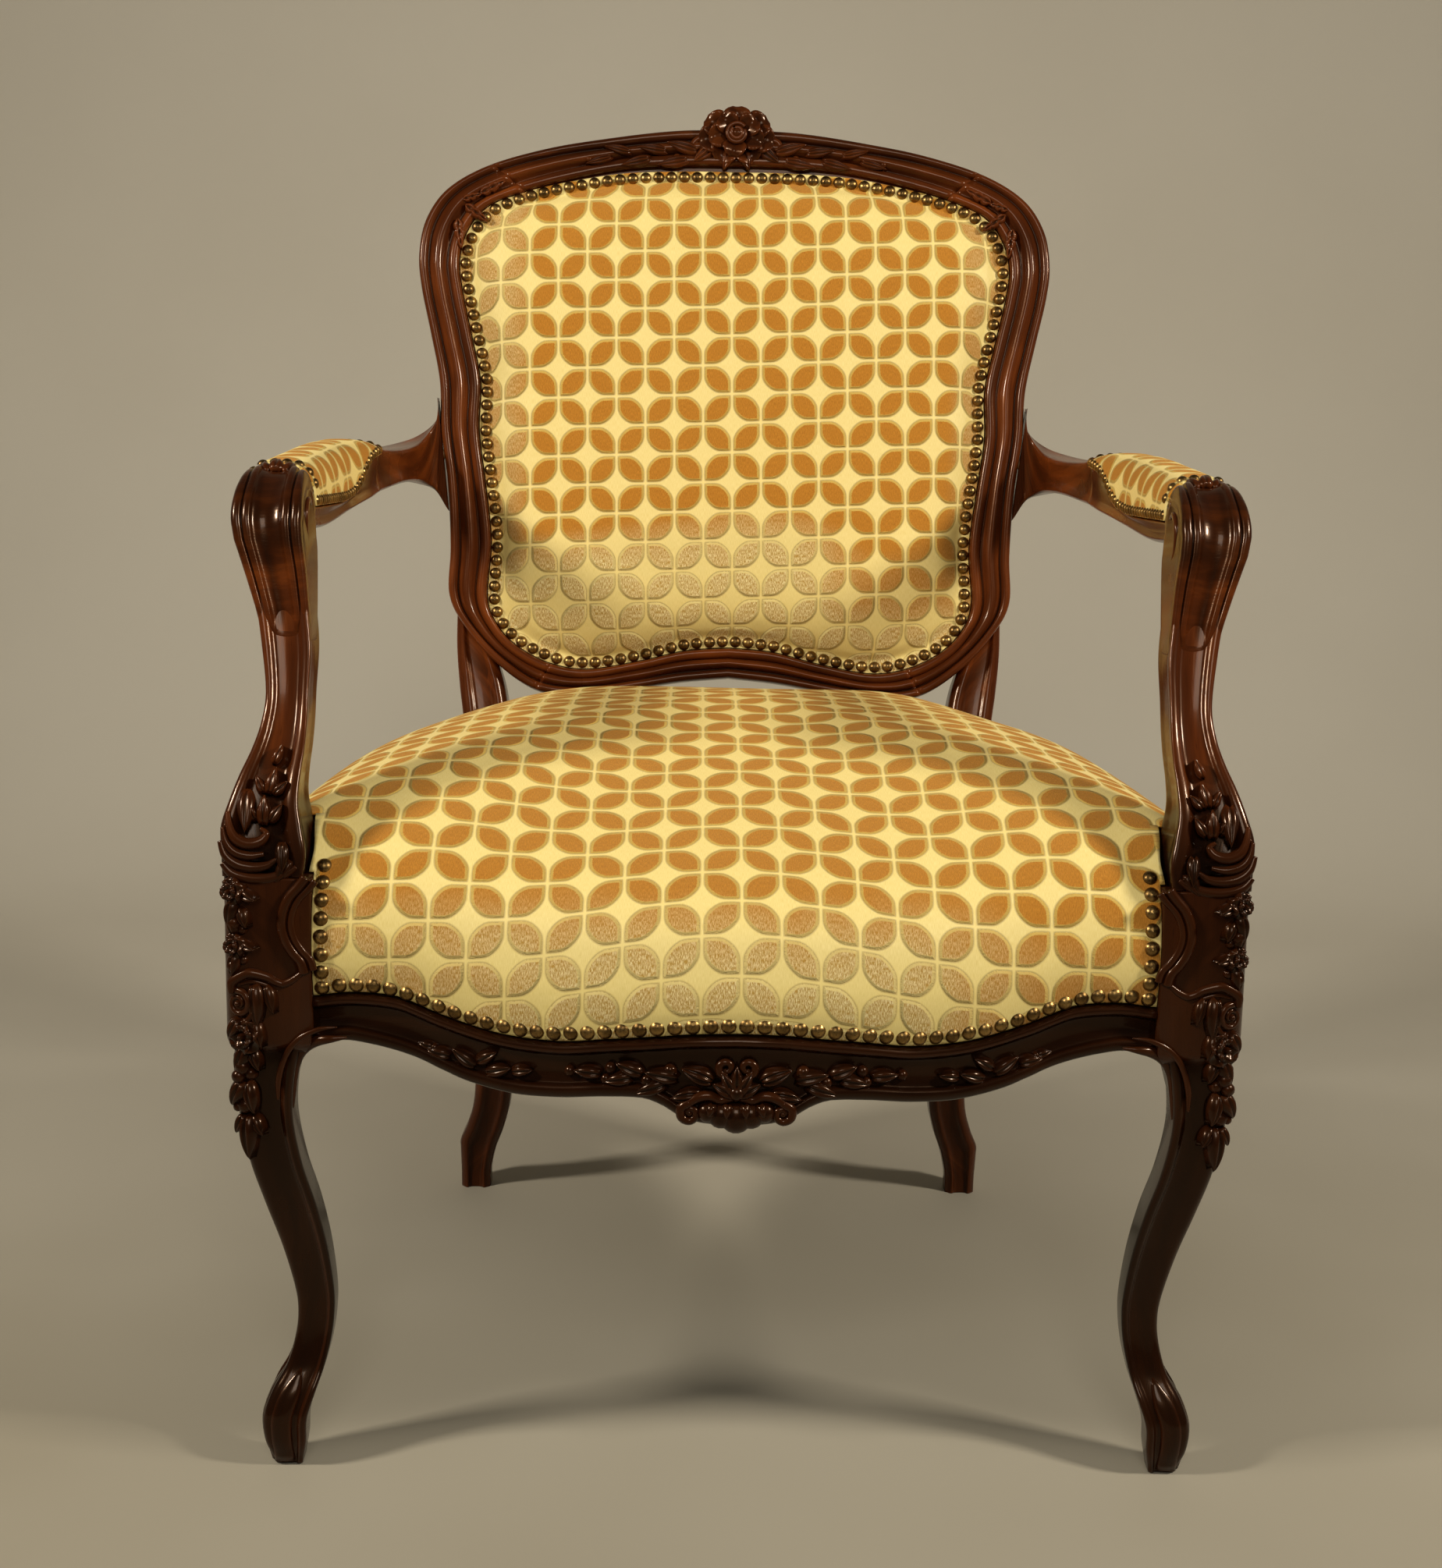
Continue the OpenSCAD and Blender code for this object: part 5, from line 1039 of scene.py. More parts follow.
def arm_support():
    s = Shape()
    p = soften(SUPPORT_SECTION, 0.14, 4)
    loft(s, [stack(BLOCK_X + x + p[:, 0] * w / 2, BLOCK_Y + y + p[:, 1] * d / 2, z)
             for z, x, y, w, d in down_rows(SUPPORT_ROWS, 110)])
    face = frame_of([0, 0, 0], [1, 0, 0], [0, -1, 0])
    for pts, rad in FOLDS:
        scroll(s, face, [[x, z, 0.5 - front_of_support(z)] for x, z in pts], rad, 1.0, 10)
    # Small leaves that climb from the folds
    for x, z, turn, L, W, H in ((302, 442, -100, 26, 12, 4.5), (291, 425, 90, 17, 10, 5),
                                (287, 426, 122, 13, 8, 4), (296, 427, 60, 12, 8, 4),
                                (289, 443, 95, 16, 9, 4.5), (285.5, 442, 128, 11, 7, 3.5),
                                (292.5, 443, 60, 11, 7, 3.5), (287, 460, 97, 13, 7, 3.5),
                                (275, 402, -60, 15, 10, 3.5), (279, 412, -84, 18, 9, 3.5)):
        along = way(turn, [1, 0, 0], up_support(z))
        pod(s, frame_of([x, front_of_support(z) - 0.2, z], along, [0, -1, 0]), L, W, H, curl=1.0)
    side = frame_of([BLOCK_X + 26, BLOCK_Y + 2, 0], [0, 1, 0], [1, 0, 0])
    for pts, rad in SIDE_FOLDS:
        scroll(s, side, [[y, z, (412 - z) / 24 - 0.6] for y, z in pts], rad, 0.9, 9)
    for dy, turn, L, W in ((-8, 70, 30, 13), (8, 108, 26, 11)):
        z = 404
        _, x, y, w, _ = at(SUPPORT_ROWS, z)
        o = [BLOCK_X + x + w / 2 * 0.86, BLOCK_Y + y + dy, z]
        leaf(s, frame_of(o, way(turn, [0, 1, 0]), [1, 0, 0]), L, W, 3.5, curl=0.5)
    knuckle(s)
    return s


# The knuckle's outline from the side, and how far its ribs stand there
KNUCKLE_SIDE = arr([
    [-222, 530, 0], [-221.5, 548, 1], [-219.5, 565, 1], [-218.5, 580, 1], [-218, 594, 1],
    [-216, 607, 1], [-210.5, 618.5, 1], [-201, 627, 1], [-189, 631.5, 1], [-176, 632, 1],
    [-166.5, 629, 1], [-162.6, 622, 0.6], [ARM_FRONT - 0.4, 612, 0.3], [ARM_FRONT - 0.4, 600, 0],
    [ARM_FRONT - 2, 589, 0], [-174, 574, 0], [-187, 552, 0], [-199, 530, 0]])
# Half of its section: share of the way from edge to middle, and height
KNUCKLE_HALF = arr([[-1, -7], [-1, -4], [-0.98, -1.6], [-0.92, 0.2], [-0.83, 0.9], [-0.74, 0.3],
                    [-0.69, -1.3], [-0.64, 0.2], [-0.55, 0.9], [-0.46, 0.2], [-0.38, -2.4],
                    [-0.2, -4.2], [0, -4.8]])


def knuckle(s):
    """The rolled end of the arm: a pair of ribs at each edge that run over the top."""
    out = soften(KNUCKLE_SIDE[:, :2], 5, 5)
    relief = np.repeat(KNUCKLE_SIDE[:, 2], 5)
    y, z = out.T
    d = unit(np.roll(out, -1, 0) - np.roll(out, 1, 0))
    normal = stack(-d[:, 1], d[:, 0])
    if np.mean(((out - out.mean(0)) * normal).sum(1)) < 0:
        normal = -normal
    prof = np.concatenate([KNUCKLE_HALF, KNUCKLE_HALF[-2::-1] * [-1, 1]])
    middle = np.interp(z, SUPPORT_ROWS[:, 0], SUPPORT_ROWS[:, 1])
    half = np.interp(z, [530, 552, 574, 594, 612, 632], [15, 17, 19.5, 21.5, 22.5, 21.5])
    rows = []
    for h, r in down_rows(prof, 73):
        q = out + normal * (r * np.maximum(relief, 0.25 if abs(h) > 0.9 else 0.0))[:, None]
        arch = 9.5 * math.sqrt(max(0.0, 1 - (h / 0.98) ** 2))
        q[:, 1] += arch * smooth(y, -204, -170) * smooth(z, 600, 624)
        rows.append(stack(BLOCK_X + middle + h * half, q[:, 0], q[:, 1]))
    P = arr(rows)
    faces = outward(P, grid_faces(*P.shape[:2], True))
    s.add(P, faces, stack(arc_of(P, 1) + 40, arc_of(P, 0) * 3) / MM)
    # A crescent on each side, and carved lobes along the edge that meets the pad
    c = float(np.interp(604, SUPPORT_ROWS[:, 0], SUPPORT_ROWS[:, 1]))
    hook = arr([[9, 13], [1, 15.5], [-7, 10], [-9.5, 0], [-7, -10], [1, -14.5], [8, -11]])
    for g in (-1, 1):
        f = frame_of([BLOCK_X + c + g * 21.9, KY - 3, 603], [0, 1, 0], [g, 0, 0])
        scroll(s, f, hook * [1, g], [1.2, 2.2, 2.4, 2.4, 2.4, 2.2, 1.2], 0.7, 8)
    for k in range(7):
        a = math.radians(14 + 152 * k / 6)
        o = [KX + 17.5 * math.cos(a), -173 - 2 * math.sin(a), 617 + 20.5 * math.sin(a)]
        outwards = arr([math.cos(a), 0.25, math.sin(a)])
        f = frame_of(o, arr([0, 1, 0.12]) + 0.25 * outwards, outwards)
        pod(s, f, 12.5, 11, 4.2, root=3, curl=1.5)


# The seat

CROWN_Y = 25
REAR_NAIL = NAIL_Z + 5
# Share of the way out from the crown and of its height: at the front, then at the sides
SEAT_PROFILE = arr([
    [1, 0, 1, 0], [1.008, 0.09, 1.02, 0.17], [1.002, 0.2, 1.028, 0.36], [0.972, 0.36, 1.015, 0.53],
    [0.915, 0.48, 0.985, 0.66], [0.83, 0.585, 0.92, 0.765], [0.68, 0.72, 0.8, 0.85],
    [0.5, 0.845, 0.6, 0.93], [0.3, 0.935, 0.36, 0.975], [0.12, 0.99, 0.14, 0.996], [0, 1, 0, 1]])
# Rows of the cover below its shoulder, from where the cloth is pulled straight down
HOLD_ROW = 36
FRONT, SIDE, REAR = 0, 1, 2


def seat_half():
    """The cover's nailed edge on the sitter's left, and the zone of each of its points."""
    xs = np.linspace(0, RAIL_END, 60)
    front = stack(xs, front_y(xs) - SKIN, front_nail(xs) - NAIL_D / 2)
    z = float(side_nail(0)) - NAIL_D / 2
    ends = arr([front[-1], [BLOCK_X - 8, FRONT_FACE - SKIN, z], [BLOCK_X + 12, FRONT_FACE + 5, z],
                [float(side_x(0)) + SKIN, FRONT_FACE + 22, z],
                [float(side_x(0.03)) + 1.1 * SKIN, SIDE_FRONT + 13, z]])
    corner = curve(ends, np.linspace(0, 4, 17))[1:-1]
    us = np.linspace(0.03, 0.97, 60)
    side = stack(side_x(us) + 1.1 * SKIN, SIDE_FRONT + (SIDE_BACK - SIDE_FRONT) * us,
                 side_nail(us) - NAIL_D / 2)
    ends = arr([side[-1], [STILE_X + STILE_W / 2 - 6, SIDE_BACK + 14, REAR_NAIL],
                [STILE_X + 4, REAR_FACE + SKIN - 4, REAR_NAIL],
                [STILE_X - STILE_W / 2, REAR_FACE + SKIN, REAR_NAIL - NAIL_D / 2]])
    back_corner = curve(ends, np.linspace(0, 3, 13))[1:-1]
    xs = np.linspace(STILE_X - STILE_W / 2, 0, 30)
    rear = stack(xs, REAR_FACE + SKIN, REAR_NAIL - NAIL_D / 2)
    n = [len(front), len(corner), len(side), len(back_corner), len(rear)]
    zone = np.repeat([FRONT, FRONT, SIDE, SIDE, REAR], n)
    zone[n[0] + n[1] // 2:n[0] + n[1]] = SIDE
    zone[sum(n[:3]) + n[3] // 2:sum(n[:4])] = REAR
    return np.concatenate([front, corner, side, back_corner, rear]), zone


def seat_points(B, p):
    """Rows of points over the seat, from its nailed edge B towards the crown."""
    d = B[:, :2] - [0, CROWN_Y]
    w = np.where(d[:, 1] > 0, 1.0, (d[:, 0] / np.linalg.norm(d, axis=1)) ** 2)
    p = p[:, None]
    r = p[..., 0] + (p[..., 2] - p[..., 0]) * w
    h = p[..., 1] + (p[..., 3] - p[..., 1]) * w
    return stack(d[:, 0] * r, CROWN_Y + d[:, 1] * r, B[:, 2] + (CROWN_Z - B[:, 2]) * h)


def split(x, last):
    """Whole places up to the last, and the shares beyond them."""
    i = np.clip(np.floor(x).astype(int), 0, last)
    return i, x - i


def between(G, i, a, j, b):
    """Reads a grid between its points."""
    return (G[i, j] * (1 - b) + G[i, j + 1] * b) * (1 - a) \
        + (G[i + 1, j] * (1 - b) + G[i + 1, j + 1] * b) * a


def stretched_over(P):
    """Lengths along the cloth from the crown, across and back, looked up by a place in plan."""
    def compass(x, y):
        return np.mod(np.degrees(np.arctan2(y - CROWN_Y, x)) + 90.0, 360.0)
    # The seat's height by direction and by share of the way out to its shoulder
    rim_x, rim_y = P[HOLD_ROW, :, 0], P[HOLD_ROW, :, 1]
    rim = np.hypot(rim_x, rim_y - CROWN_Y)
    angle = compass(rim_x, rim_y)
    angle[0] = 0.0
    shares = 90
    q = np.linspace(0, 1, shares + 1)
    table = []
    for k in range(P.shape[1]):
        r = np.linalg.norm(P[HOLD_ROW:, k, :2] - [0, CROWN_Y], axis=1) / rim[k]
        heights = np.append(P[HOLD_ROW:, k, 2], CROWN_Z)
        table.append(np.interp(q, np.append(r, 0)[::-1], heights[::-1]))
    table = arr(table + [table[0]])
    angle, rim = np.append(angle, 360.0), np.append(rim, rim[0])
    # The same on a square grid, and the cloth's length run along its rows and columns
    step, cols, rows = 3.0, 118, 125
    gx = step * np.arange(-cols, cols + 1)
    gy = CROWN_Y + step * np.arange(-rows, 100)
    X, Y = np.meshgrid(gx, gy)
    c, f = split(np.interp(compass(X, Y), angle, np.arange(len(angle))), len(angle) - 2)
    reach = np.hypot(X, Y - CROWN_Y) / (rim[c] * (1 - f) + rim[c + 1] * f)
    H = between(table, c, f, *split(np.clip(reach, 0, 1) * shares, shares - 1))
    Hy, Hx = np.gradient(H, step)
    u = np.cumsum(np.hypot(1, Hx), axis=1) * step
    v = np.cumsum(np.hypot(1, Hy), axis=0) * step
    u -= u[:, [cols]]
    v -= v[[rows], :]
    x = split(np.clip((P[..., 0] - gx[0]) / step, 0, len(gx) - 1.001), len(gx) - 2)
    y = split(np.clip((P[..., 1] - gy[0]) / step, 0, len(gy) - 1.001), len(gy) - 2)
    return between(u, *y, *x), between(v, *y, *x)


def held(q, vals, at_v):
    """Reads values along a rim, and carries on past its ends at the same scale."""
    o = np.argsort(q)
    q, vals = q[o], vals[o]
    return np.interp(at_v, q, vals) + np.minimum(at_v - q[0], 0) + np.maximum(at_v - q[-1], 0)


def seat_shape():
    """The zones of the cover's columns, its points, and their lengths along the cloth."""
    half, zone = seat_half()
    B = np.concatenate([half, half[-2:0:-1] * [-1, 1, 1]])
    zone = np.concatenate([zone, zone[-2:0:-1]])
    ts = np.concatenate([np.linspace(0, 4, HOLD_ROW + 1), np.linspace(4, 9.6, 56)[1:]])
    P = seat_points(B, curve(SEAT_PROFILE, ts))
    U, V = stretched_over(P)
    side = zone == SIDE
    # Below the shoulder the cloth is pulled straight down, each side by itself
    parts = ((zone == FRONT, 0, -1), (zone == REAR, 0, 1), (side & (B[:, 0] > 0), 1, 1),
             (side & (B[:, 0] < 0), 1, -1))
    for cols, axis, sign in parts:
        along, down = (U, V) if axis == 0 else (V, U)
        q, vals = P[HOLD_ROW, cols, axis], along[HOLD_ROW, cols].copy()
        for j in range(HOLD_ROW - 1, -1, -1):
            step = P[j, cols] - P[j + 1, cols]
            along[j, cols] = held(q, vals, P[j, cols, axis])
            down[j, cols] = down[j + 1, cols] + sign * np.hypot(step[:, 1 - axis], step[:, 2])
    return zone, P, U, V


# The pattern's repeat on the seat, across and back, and its place there and on the arm pads
CELL_U, CELL_V, SEAT_U0, SEAT_V0, PAD_UV0 = 24.0, 24.6, -0.07, -0.02, 0.5


def back_weave(uv):
    """The pattern's place on the back, where the cloth was tacked on a little askew."""
    return stack(uv[..., 0] / 24.0 + uv[..., 1] / 1400 + 0.034,
                 uv[..., 1] / 24.33 - uv[..., 0] / 555 - 0.487)


def fan(m, n):
    """Faces from the last row of a band to the point after it."""
    last = (m - 1) * n
    return [(last + j, last + (j + 1) % n, m * n) for j in range(n)]


def seat_cover():
    zone, P, U, V = seat_shape()
    m, n = P.shape[:2]
    x, y, z = np.moveaxis(P, -1, 0)
    # The springs and the tacked edge leave the cloth a little uneven
    ripple = 0.5 * np.sin(x / 31) * np.sin(y / 37 + 1) * smooth(z, 380, 440)
    # The cloth is drawn down beside each arm support, in a fold that runs back from its foot
    along = np.clip((y + 268) / 90, 0, 1)
    off_line = np.abs(x) - (254 - 42 * along)
    fold = 3.5 * np.exp(-(off_line / 15) ** 2) * (1 - along) * smooth(y, -285, -262)
    P = stack(x, y, z + ripple - fold)
    # The pile lies the other way low down at the front, more so on the sitter's right, and is given
    # a painted whitish sheen there
    steep = 1 - smooth(P[..., 2], 338, 402)
    nap = steep * (0.95 - 0.75 * smooth(x, 90, 190)) * (0.7 + 0.3 * smooth(x, -200, -60))
    nap = nap * (y < 0) * np.where(zone == SIDE, 0.5, 1.0)
    uv = stack(U / CELL_U + SEAT_U0, V / CELL_V + SEAT_V0)
    verts = [P.reshape(-1, 3), [[0, CROWN_Y, CROWN_Z]]]
    uvs = [uv.reshape(-1, 2), [[SEAT_U0, SEAT_V0]]]
    naps = [nap.reshape(-1), [0]]
    # Columns at a change of zone get their own vertices, so the pattern isn't drawn out there
    cut = np.where(zone != np.roll(zone, -1))[0]
    faces = [q for k, q in enumerate(grid_faces(m, n)) if not (k % n in cut and k // n < HOLD_ROW)]
    faces += fan(m, n)
    k = m * n + 1
    for c in cut:
        d = (c + 1) % n
        for i in range(HOLD_ROW):
            verts.append([P[i, c], P[i, d], P[i + 1, d], P[i + 1, c]])
            uvs.append([uv[i, c], 2 * uv[i, c] - uv[i, c - 1], 2 * uv[i + 1, c] - uv[i + 1, c - 1],
                        uv[i + 1, c]])
            naps.append([nap[i, c], nap[i, d], nap[i + 1, d], nap[i + 1, c]])
            faces.append((k, k + 1, k + 2, k + 3))
            k += 4
    s = Shape().add(np.concatenate(verts), [q[::-1] for q in faces], np.concatenate(uvs),
                    np.concatenate(naps))
    ob = s.make("velvet_seat", VELVET)
    cut_notches(ob)
    return thicken(ob)


def cut_notches(ob):
    """Cuts the cloth out round the corner blocks and the rear legs."""
    bm = bmesh.new()
    bm.from_mesh(ob.data)
    bmesh.ops.remove_doubles(bm, verts=bm.verts, dist=1e-6)
    ys, yr = (SIDE_FRONT + GAP + SHIFT) / MM, (SIDE_BACK - GAP + SHIFT) / MM
    xf, xr = (RAIL_END - GAP) / MM, (STILE_X - STILE_W / 2 - GAP) / MM
    for axis, place in ((0, xf), (0, -xf), (1, ys), (0, xr), (0, -xr), (1, yr)):
        no = Vector([float(k == axis) for k in range(3)])
        bmesh.ops.bisect_plane(bm, geom=bm.verts[:] + bm.edges[:] + bm.faces[:], dist=1e-7,
                               plane_co=no * place, plane_no=no)
    gone = []
    for f in bm.faces:
        c = f.calc_center_median()
        if (abs(c.x) > xf and c.y < ys) or (abs(c.x) > xr and c.y > yr):
            gone.append(f)
    bmesh.ops.delete(bm, geom=gone, context="FACES")
    # The cut edge above each block is tucked in against the arm support
    top = (BLOCK_TOP + GAP + 0.4) / MM
    rim = [e for e in bm.edges if len(e.link_faces) == 1 and all(
        abs(abs(v.co.x) - xf) < 1e-5 and v.co.y < ys and v.co.z > top for v in e.verts)]
    for v in bmesh.ops.extrude_edge_only(bm, edges=rim)["geom"]:
        if isinstance(v, bmesh.types.BMVert):
            r = at(SUPPORT_ROWS, min(v.co.z * MM, 500))
            room = BLOCK_X + r[1] - r[3] / 2 - RAIL_END
            v.co.x += math.copysign(max(room - 0.8, 1.0) / MM, v.co.x)
    bmesh.ops.recalc_face_normals(bm, faces=bm.faces)
    bm.to_mesh(ob.data)
    bm.free()
    shade_smooth(ob.data)


def thicken(ob):
    """Gives a cover a little less than the cloth's full thickness, inwards."""
    mod = ob.modifiers.new("thickness", "SOLIDIFY")
    mod.thickness = CLOTH / MM * 0.8
    mod.offset = -1
    return ob


# The padded back and its covered rear

BACK_EDGE = LEDGE_Z + GAP + CLOTH
# Share of the way out from the middle, and of the padding's height
BACK_PROFILE = arr([[1, 0], [0.975, 0.0], [0.952, 0.015], [0.915, 0.3], [0.84, 0.61], [0.7, 0.84],
                    [0.45, 0.97], [0.18, 1], [0, 1]])
REAR_FLAT = -FRAME_T - GAP - CLOTH
REAR_PAD = -FRAME_T - 3 * GAP - 6 - CLOTH
REAR_PROFILE = arr([
    [1, REAR_FLAT], [0.957, REAR_FLAT], [0.944, (REAR_FLAT + REAR_PAD + CLOTH) / 2 - 1],
    [0.93, REAR_PAD + 0.2], [0.6, REAR_PAD], [0.3, REAR_PAD], [0.1, REAR_PAD]])
# How far each cover's edge lies inside the ledge
FRONT_INSET, REAR_INSET = 0.8, -8.2


def back_panel(name, count, rows, inset, crown, facing, weave, nap_at):
    """A cover of the back: its rows give a share of the way out to the ledge, and a height."""
    mid = arr([0, BACK_MID])
    e = ledge_at(np.linspace(-RING, RING, count)[:-1], inset) - mid
    plan = mid + e * rows[:, 0, None, None]
    P = at_back(plan[..., 0], plan[..., 1], rows[:, 1, None])
    m, n = P.shape[:2]
    verts = np.concatenate([P.reshape(-1, 3), [at_back(0, BACK_MID, crown)]])
    uv = np.concatenate([weave(plan - mid, P).reshape(-1, 2), [weave(arr([0, 0]), None)]])
    nap = np.append(nap_at(plan[..., 0], plan[..., 1]).ravel(), 0)
    faces = grid_faces(m, n) + fan(m, n)
    a, b, c = verts[list([f for f in faces if m * n in f][0])]
    if np.dot(np.cross(b - a, c - a), [0, facing, 0]) < 0:
        faces = [f[::-1] for f in faces]
    return thicken(Shape().add(verts, faces, uv, nap).make(name, VELVET))


def back_cover():
    def weave(plan, P):
        """Along the cloth's length from the middle."""
        if P is None:
            return back_weave(plan)
        arc, flat = (arc_of(a[::-1], 0)[::-1] for a in (P, plan))
        return back_weave(plan + unit(plan) * (arc - flat)[..., None])

    def nap_at(x, t):
        """Painted whitish sheen where the pile lies the other way, mostly low down, and on the
        sloped sides.
        """
        start = 128 + 14 * np.exp(-((x - 20) / 60) ** 2) - 10 * smooth(-x, 60, 160)
        nap = 1 - smooth(t, start - 42, start + 12)
        nap = nap * (1 - 0.8 * smooth(x, 55, 115) * smooth(t, 35, 75))
        return np.maximum(nap, 0.5 * smooth(-x, 158, 190) + 0.35 * smooth(x, 172, 200))
    rows = curve(BACK_PROFILE, np.linspace(0, 7.7, 54)) * [1, BACK_PAD - BACK_EDGE] + [0, BACK_EDGE]
    return back_panel("velvet_back", 337, rows, FRONT_INSET, BACK_PAD, -1, weave, nap_at)


def back_outer_cover():
    rows = curve(REAR_PROFILE, np.linspace(0, 6, 40))
    return back_panel("velvet_back_outer", 253, rows, REAR_INSET, REAR_PAD, 1,
                      lambda plan, P: plan / CELL_U, lambda x, t: 0 * x)


# Arm pads

ARM_BY_Y = arr([[r[1], r[0], r[2]] for r in ARM_ROWS[:3:-1]])
# Place along the arm, and share of the padding's height
PAD_SHAPE = arr([
    [PAD_FRONT, 0.8], [PAD_FRONT + 4.5, 0.88], [-140, 0.97], [-105, 1], [-70, 1], [-40, 1],
    [-15, 0.98], [5, 0.94], [20, 0.87], [34, 0.76], [48, 0.6], [PAD_REAR - 11, 0.46],
    [PAD_REAR - 4, 0.34], [PAD_REAR, 0.17]])


def pad_row(y):
    """The pad's outer and inner curve over the arm."""
    _, x, top = at(ARM_BY_Y, y)
    low = pad_low(y)
    a = np.linspace(0, np.pi, 41)
    c, s = np.cos(a), np.sin(a)
    h = top + PAD_H * at(PAD_SHAPE, y)[1] - low
    out = stack(x + PAD_W / 2 * np.sign(c) * np.abs(c) ** 0.7, y, low + h * s ** 0.7)
    w, t = PAD_W / 2 - REBATE, max(top + 0.8 - low, 1.0)
    inner = stack(x + w * np.sign(c) * np.abs(c) ** 0.35, y, low + t * s ** 0.35)
    return out, inner[::-1]


def arm_pad():
    P, uv = [], []
    for y in PAD_FRONT + PAD_L * (0.5 - 0.5 * np.cos(np.linspace(0.05, np.pi, 91))):
        out, inner = pad_row(float(y))
        across = arc_of(out, 0)
        across = across - across[len(out) // 2]
        P.append(np.concatenate([out, inner]))
        uv.append(stack(np.concatenate([across, across[::-1]]), y))
    P, uv = arr(P), arr(uv)
    along = arc_of(P[:, 20], 0)
    uv[..., 1] = (along - along[-1])[:, None]
    faces = outward(P, grid_faces(*P.shape[:2], True))
    return Shape().add(P, faces, uv.reshape(-1, 2) / CELL_U + PAD_UV0)


# What the covers hide

# The springs rise a little over the rails
SPRING_R, SPRING_WIRE, SPRING_TURNS, SPRING_UP, SPRING_WAIST = 45, 1.8, 4, 18, 0.28
WEB_Z, WEB_HOLD, WEB_HOLD_REAR, WEB_W, WEB_T, WEB_WAVE = RAIL_LOW, 14, 13, 50, 1.8, 0.15
WEB_X = [i * 76 for i in range(-2, 3)]
WEB_Y = [i * 87 - 31 for i in range(-2, 3)]


def seat_springs():
    """Waisted coils that stand on the crossings of the straps."""
    s = Shape()
    t = np.linspace(0, 1, SPRING_TURNS * 30 + 1)
    rad = (SPRING_R - SPRING_WIRE) * (1 - SPRING_WAIST * np.sin(np.pi * t))
    a = 2 * np.pi * SPRING_TURNS * t
    low, high = WEB_Z + GAP + SPRING_WIRE, RAIL_TOP + SPRING_UP - SPRING_WIRE
    for i, j in ((1, 1), (3, 1), (2, 2), (1, 3), (3, 3)):
        x, y = WEB_X[i], WEB_Y[j]
        path = stack(x + rad * np.cos(a), y + rad * np.sin(a), low + (high - low) * t)
        loft(s, tube(path, SPRING_WIRE))
    return s


def strap(s, a, b, side, over):
    """A woven strap from a to b that waves a little where it crosses others."""
    a, b, side = arr(a), arr(b), arr(side)
    u = np.linspace(0, 1, 61)
    mid = a + (b - a) * u[:, None]
    mid[:, 2] += over * np.cos(u * np.pi * 5)
    top = mid[:, None] + side * (np.linspace(-1, 1, 7)[:, None] * WEB_W / 2)
    return loft(s, np.concatenate([top, top[:, ::-1] - [0, 0, WEB_T]], 1))


def seat_webbing():
    s = Shape()
    for k, y in enumerate(WEB_Y):
        h = float(side_x((y + WEB_W / 2 - SIDE_FRONT) / (SIDE_BACK - SIDE_FRONT))) - WEB_HOLD
        strap(s, [-h, y, WEB_Z], [h, y, WEB_Z], [0, 1, 0], WEB_WAVE * (-1) ** k)
    low = WEB_Z - WEB_T
    for k, x in enumerate(WEB_X):
        f = float(front_y(abs(x) + WEB_W / 2)) + WEB_HOLD
        strap(s, [x, f, low], [x, REAR_FACE - WEB_HOLD_REAR, low], [1, 0, 0], WEB_WAVE * (-1) ** k)
    return s


def from_node(name, node, mat, cuts, amount, size):
    """A softened, slightly uneven copy of a hidden soft solid."""
    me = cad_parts[node].data.copy()
    me.name = name
    me.materials.clear()
    me.materials.append(mat)
    ob = linked(name, me)
    ob.modifiers.new("weld", "WELD").merge_threshold = 0.0002
    finer = ob.modifiers.new("finer", "SUBSURF")
    finer.subdivision_type = "SIMPLE"
    finer.levels = finer.render_levels = cuts
    tex = bpy.data.textures.new(name, "CLOUDS")
    tex.noise_scale = size
    uneven = ob.modifiers.new("uneven", "DISPLACE")
    uneven.texture = tex
    uneven.strength = amount / MM
    uneven.mid_level = 1.0
    uneven.texture_coords = "LOCAL"
    return ob


def apply_modifiers(ob):
    deps = bpy.context.evaluated_depsgraph_get()
    me = bpy.data.meshes.new_from_object(ob.evaluated_get(deps))
    old = ob.data
    ob.modifiers.clear()
    ob.data = me
    bpy.data.meshes.remove(old)


# Making and placing the pieces

# Moves the whole chair so that its depth has its middle at 0
SHIFT = -(FRONT_FACE - FRONT_BOW - CARVING_OUT + at_back(0, BACK_H, -FRAME_T)[1]) / 2


def stand_in(ob, node, slot):
    """Lets a piece take the place of a CAD node."""
    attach(ob, "root")
    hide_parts(node)


def one(shape, name, node, mat=WALNUT, slot="walnut"):
    stand_in(shape.make(name, mat), node, slot)


def both(shape, name, node):
    one(shape, name + "_left", node + "_left")
    one(shape.mirrored(), name + "_right", node + "_right")


both(front_leg(), "carved_front_leg", "front_leg")
both(rear_leg(), "moulded_rear_leg", "rear_leg")
both(side_rail(), "moulded_side_rail", "side_rail")
both(arm(), "moulded_arm", "arm")
both(arm_support(), "carved_arm_support", "arm_support")
one(front_rail(), "carved_front_rail", "front_rail")
one(crest_rail(), "carved_crest_rail", "crest_rail")
one(back_lower_rail(), "moulded_lower_rail", "back_lower_rail")

pad = arm_pad()
for ob, node in ((seat_cover(), "seat_cover"), (back_cover(), "back_cover"),
                 (back_outer_cover(), "back_outer_cover"),
                 (pad.make("velvet_arm_pad_left", VELVET), "arm_pad_left"),
                 (pad.mirrored().make("velvet_arm_pad_right", VELVET), "arm_pad_right")):
    apply_modifiers(ob)
    stand_in(ob, node, "cut_velvet")

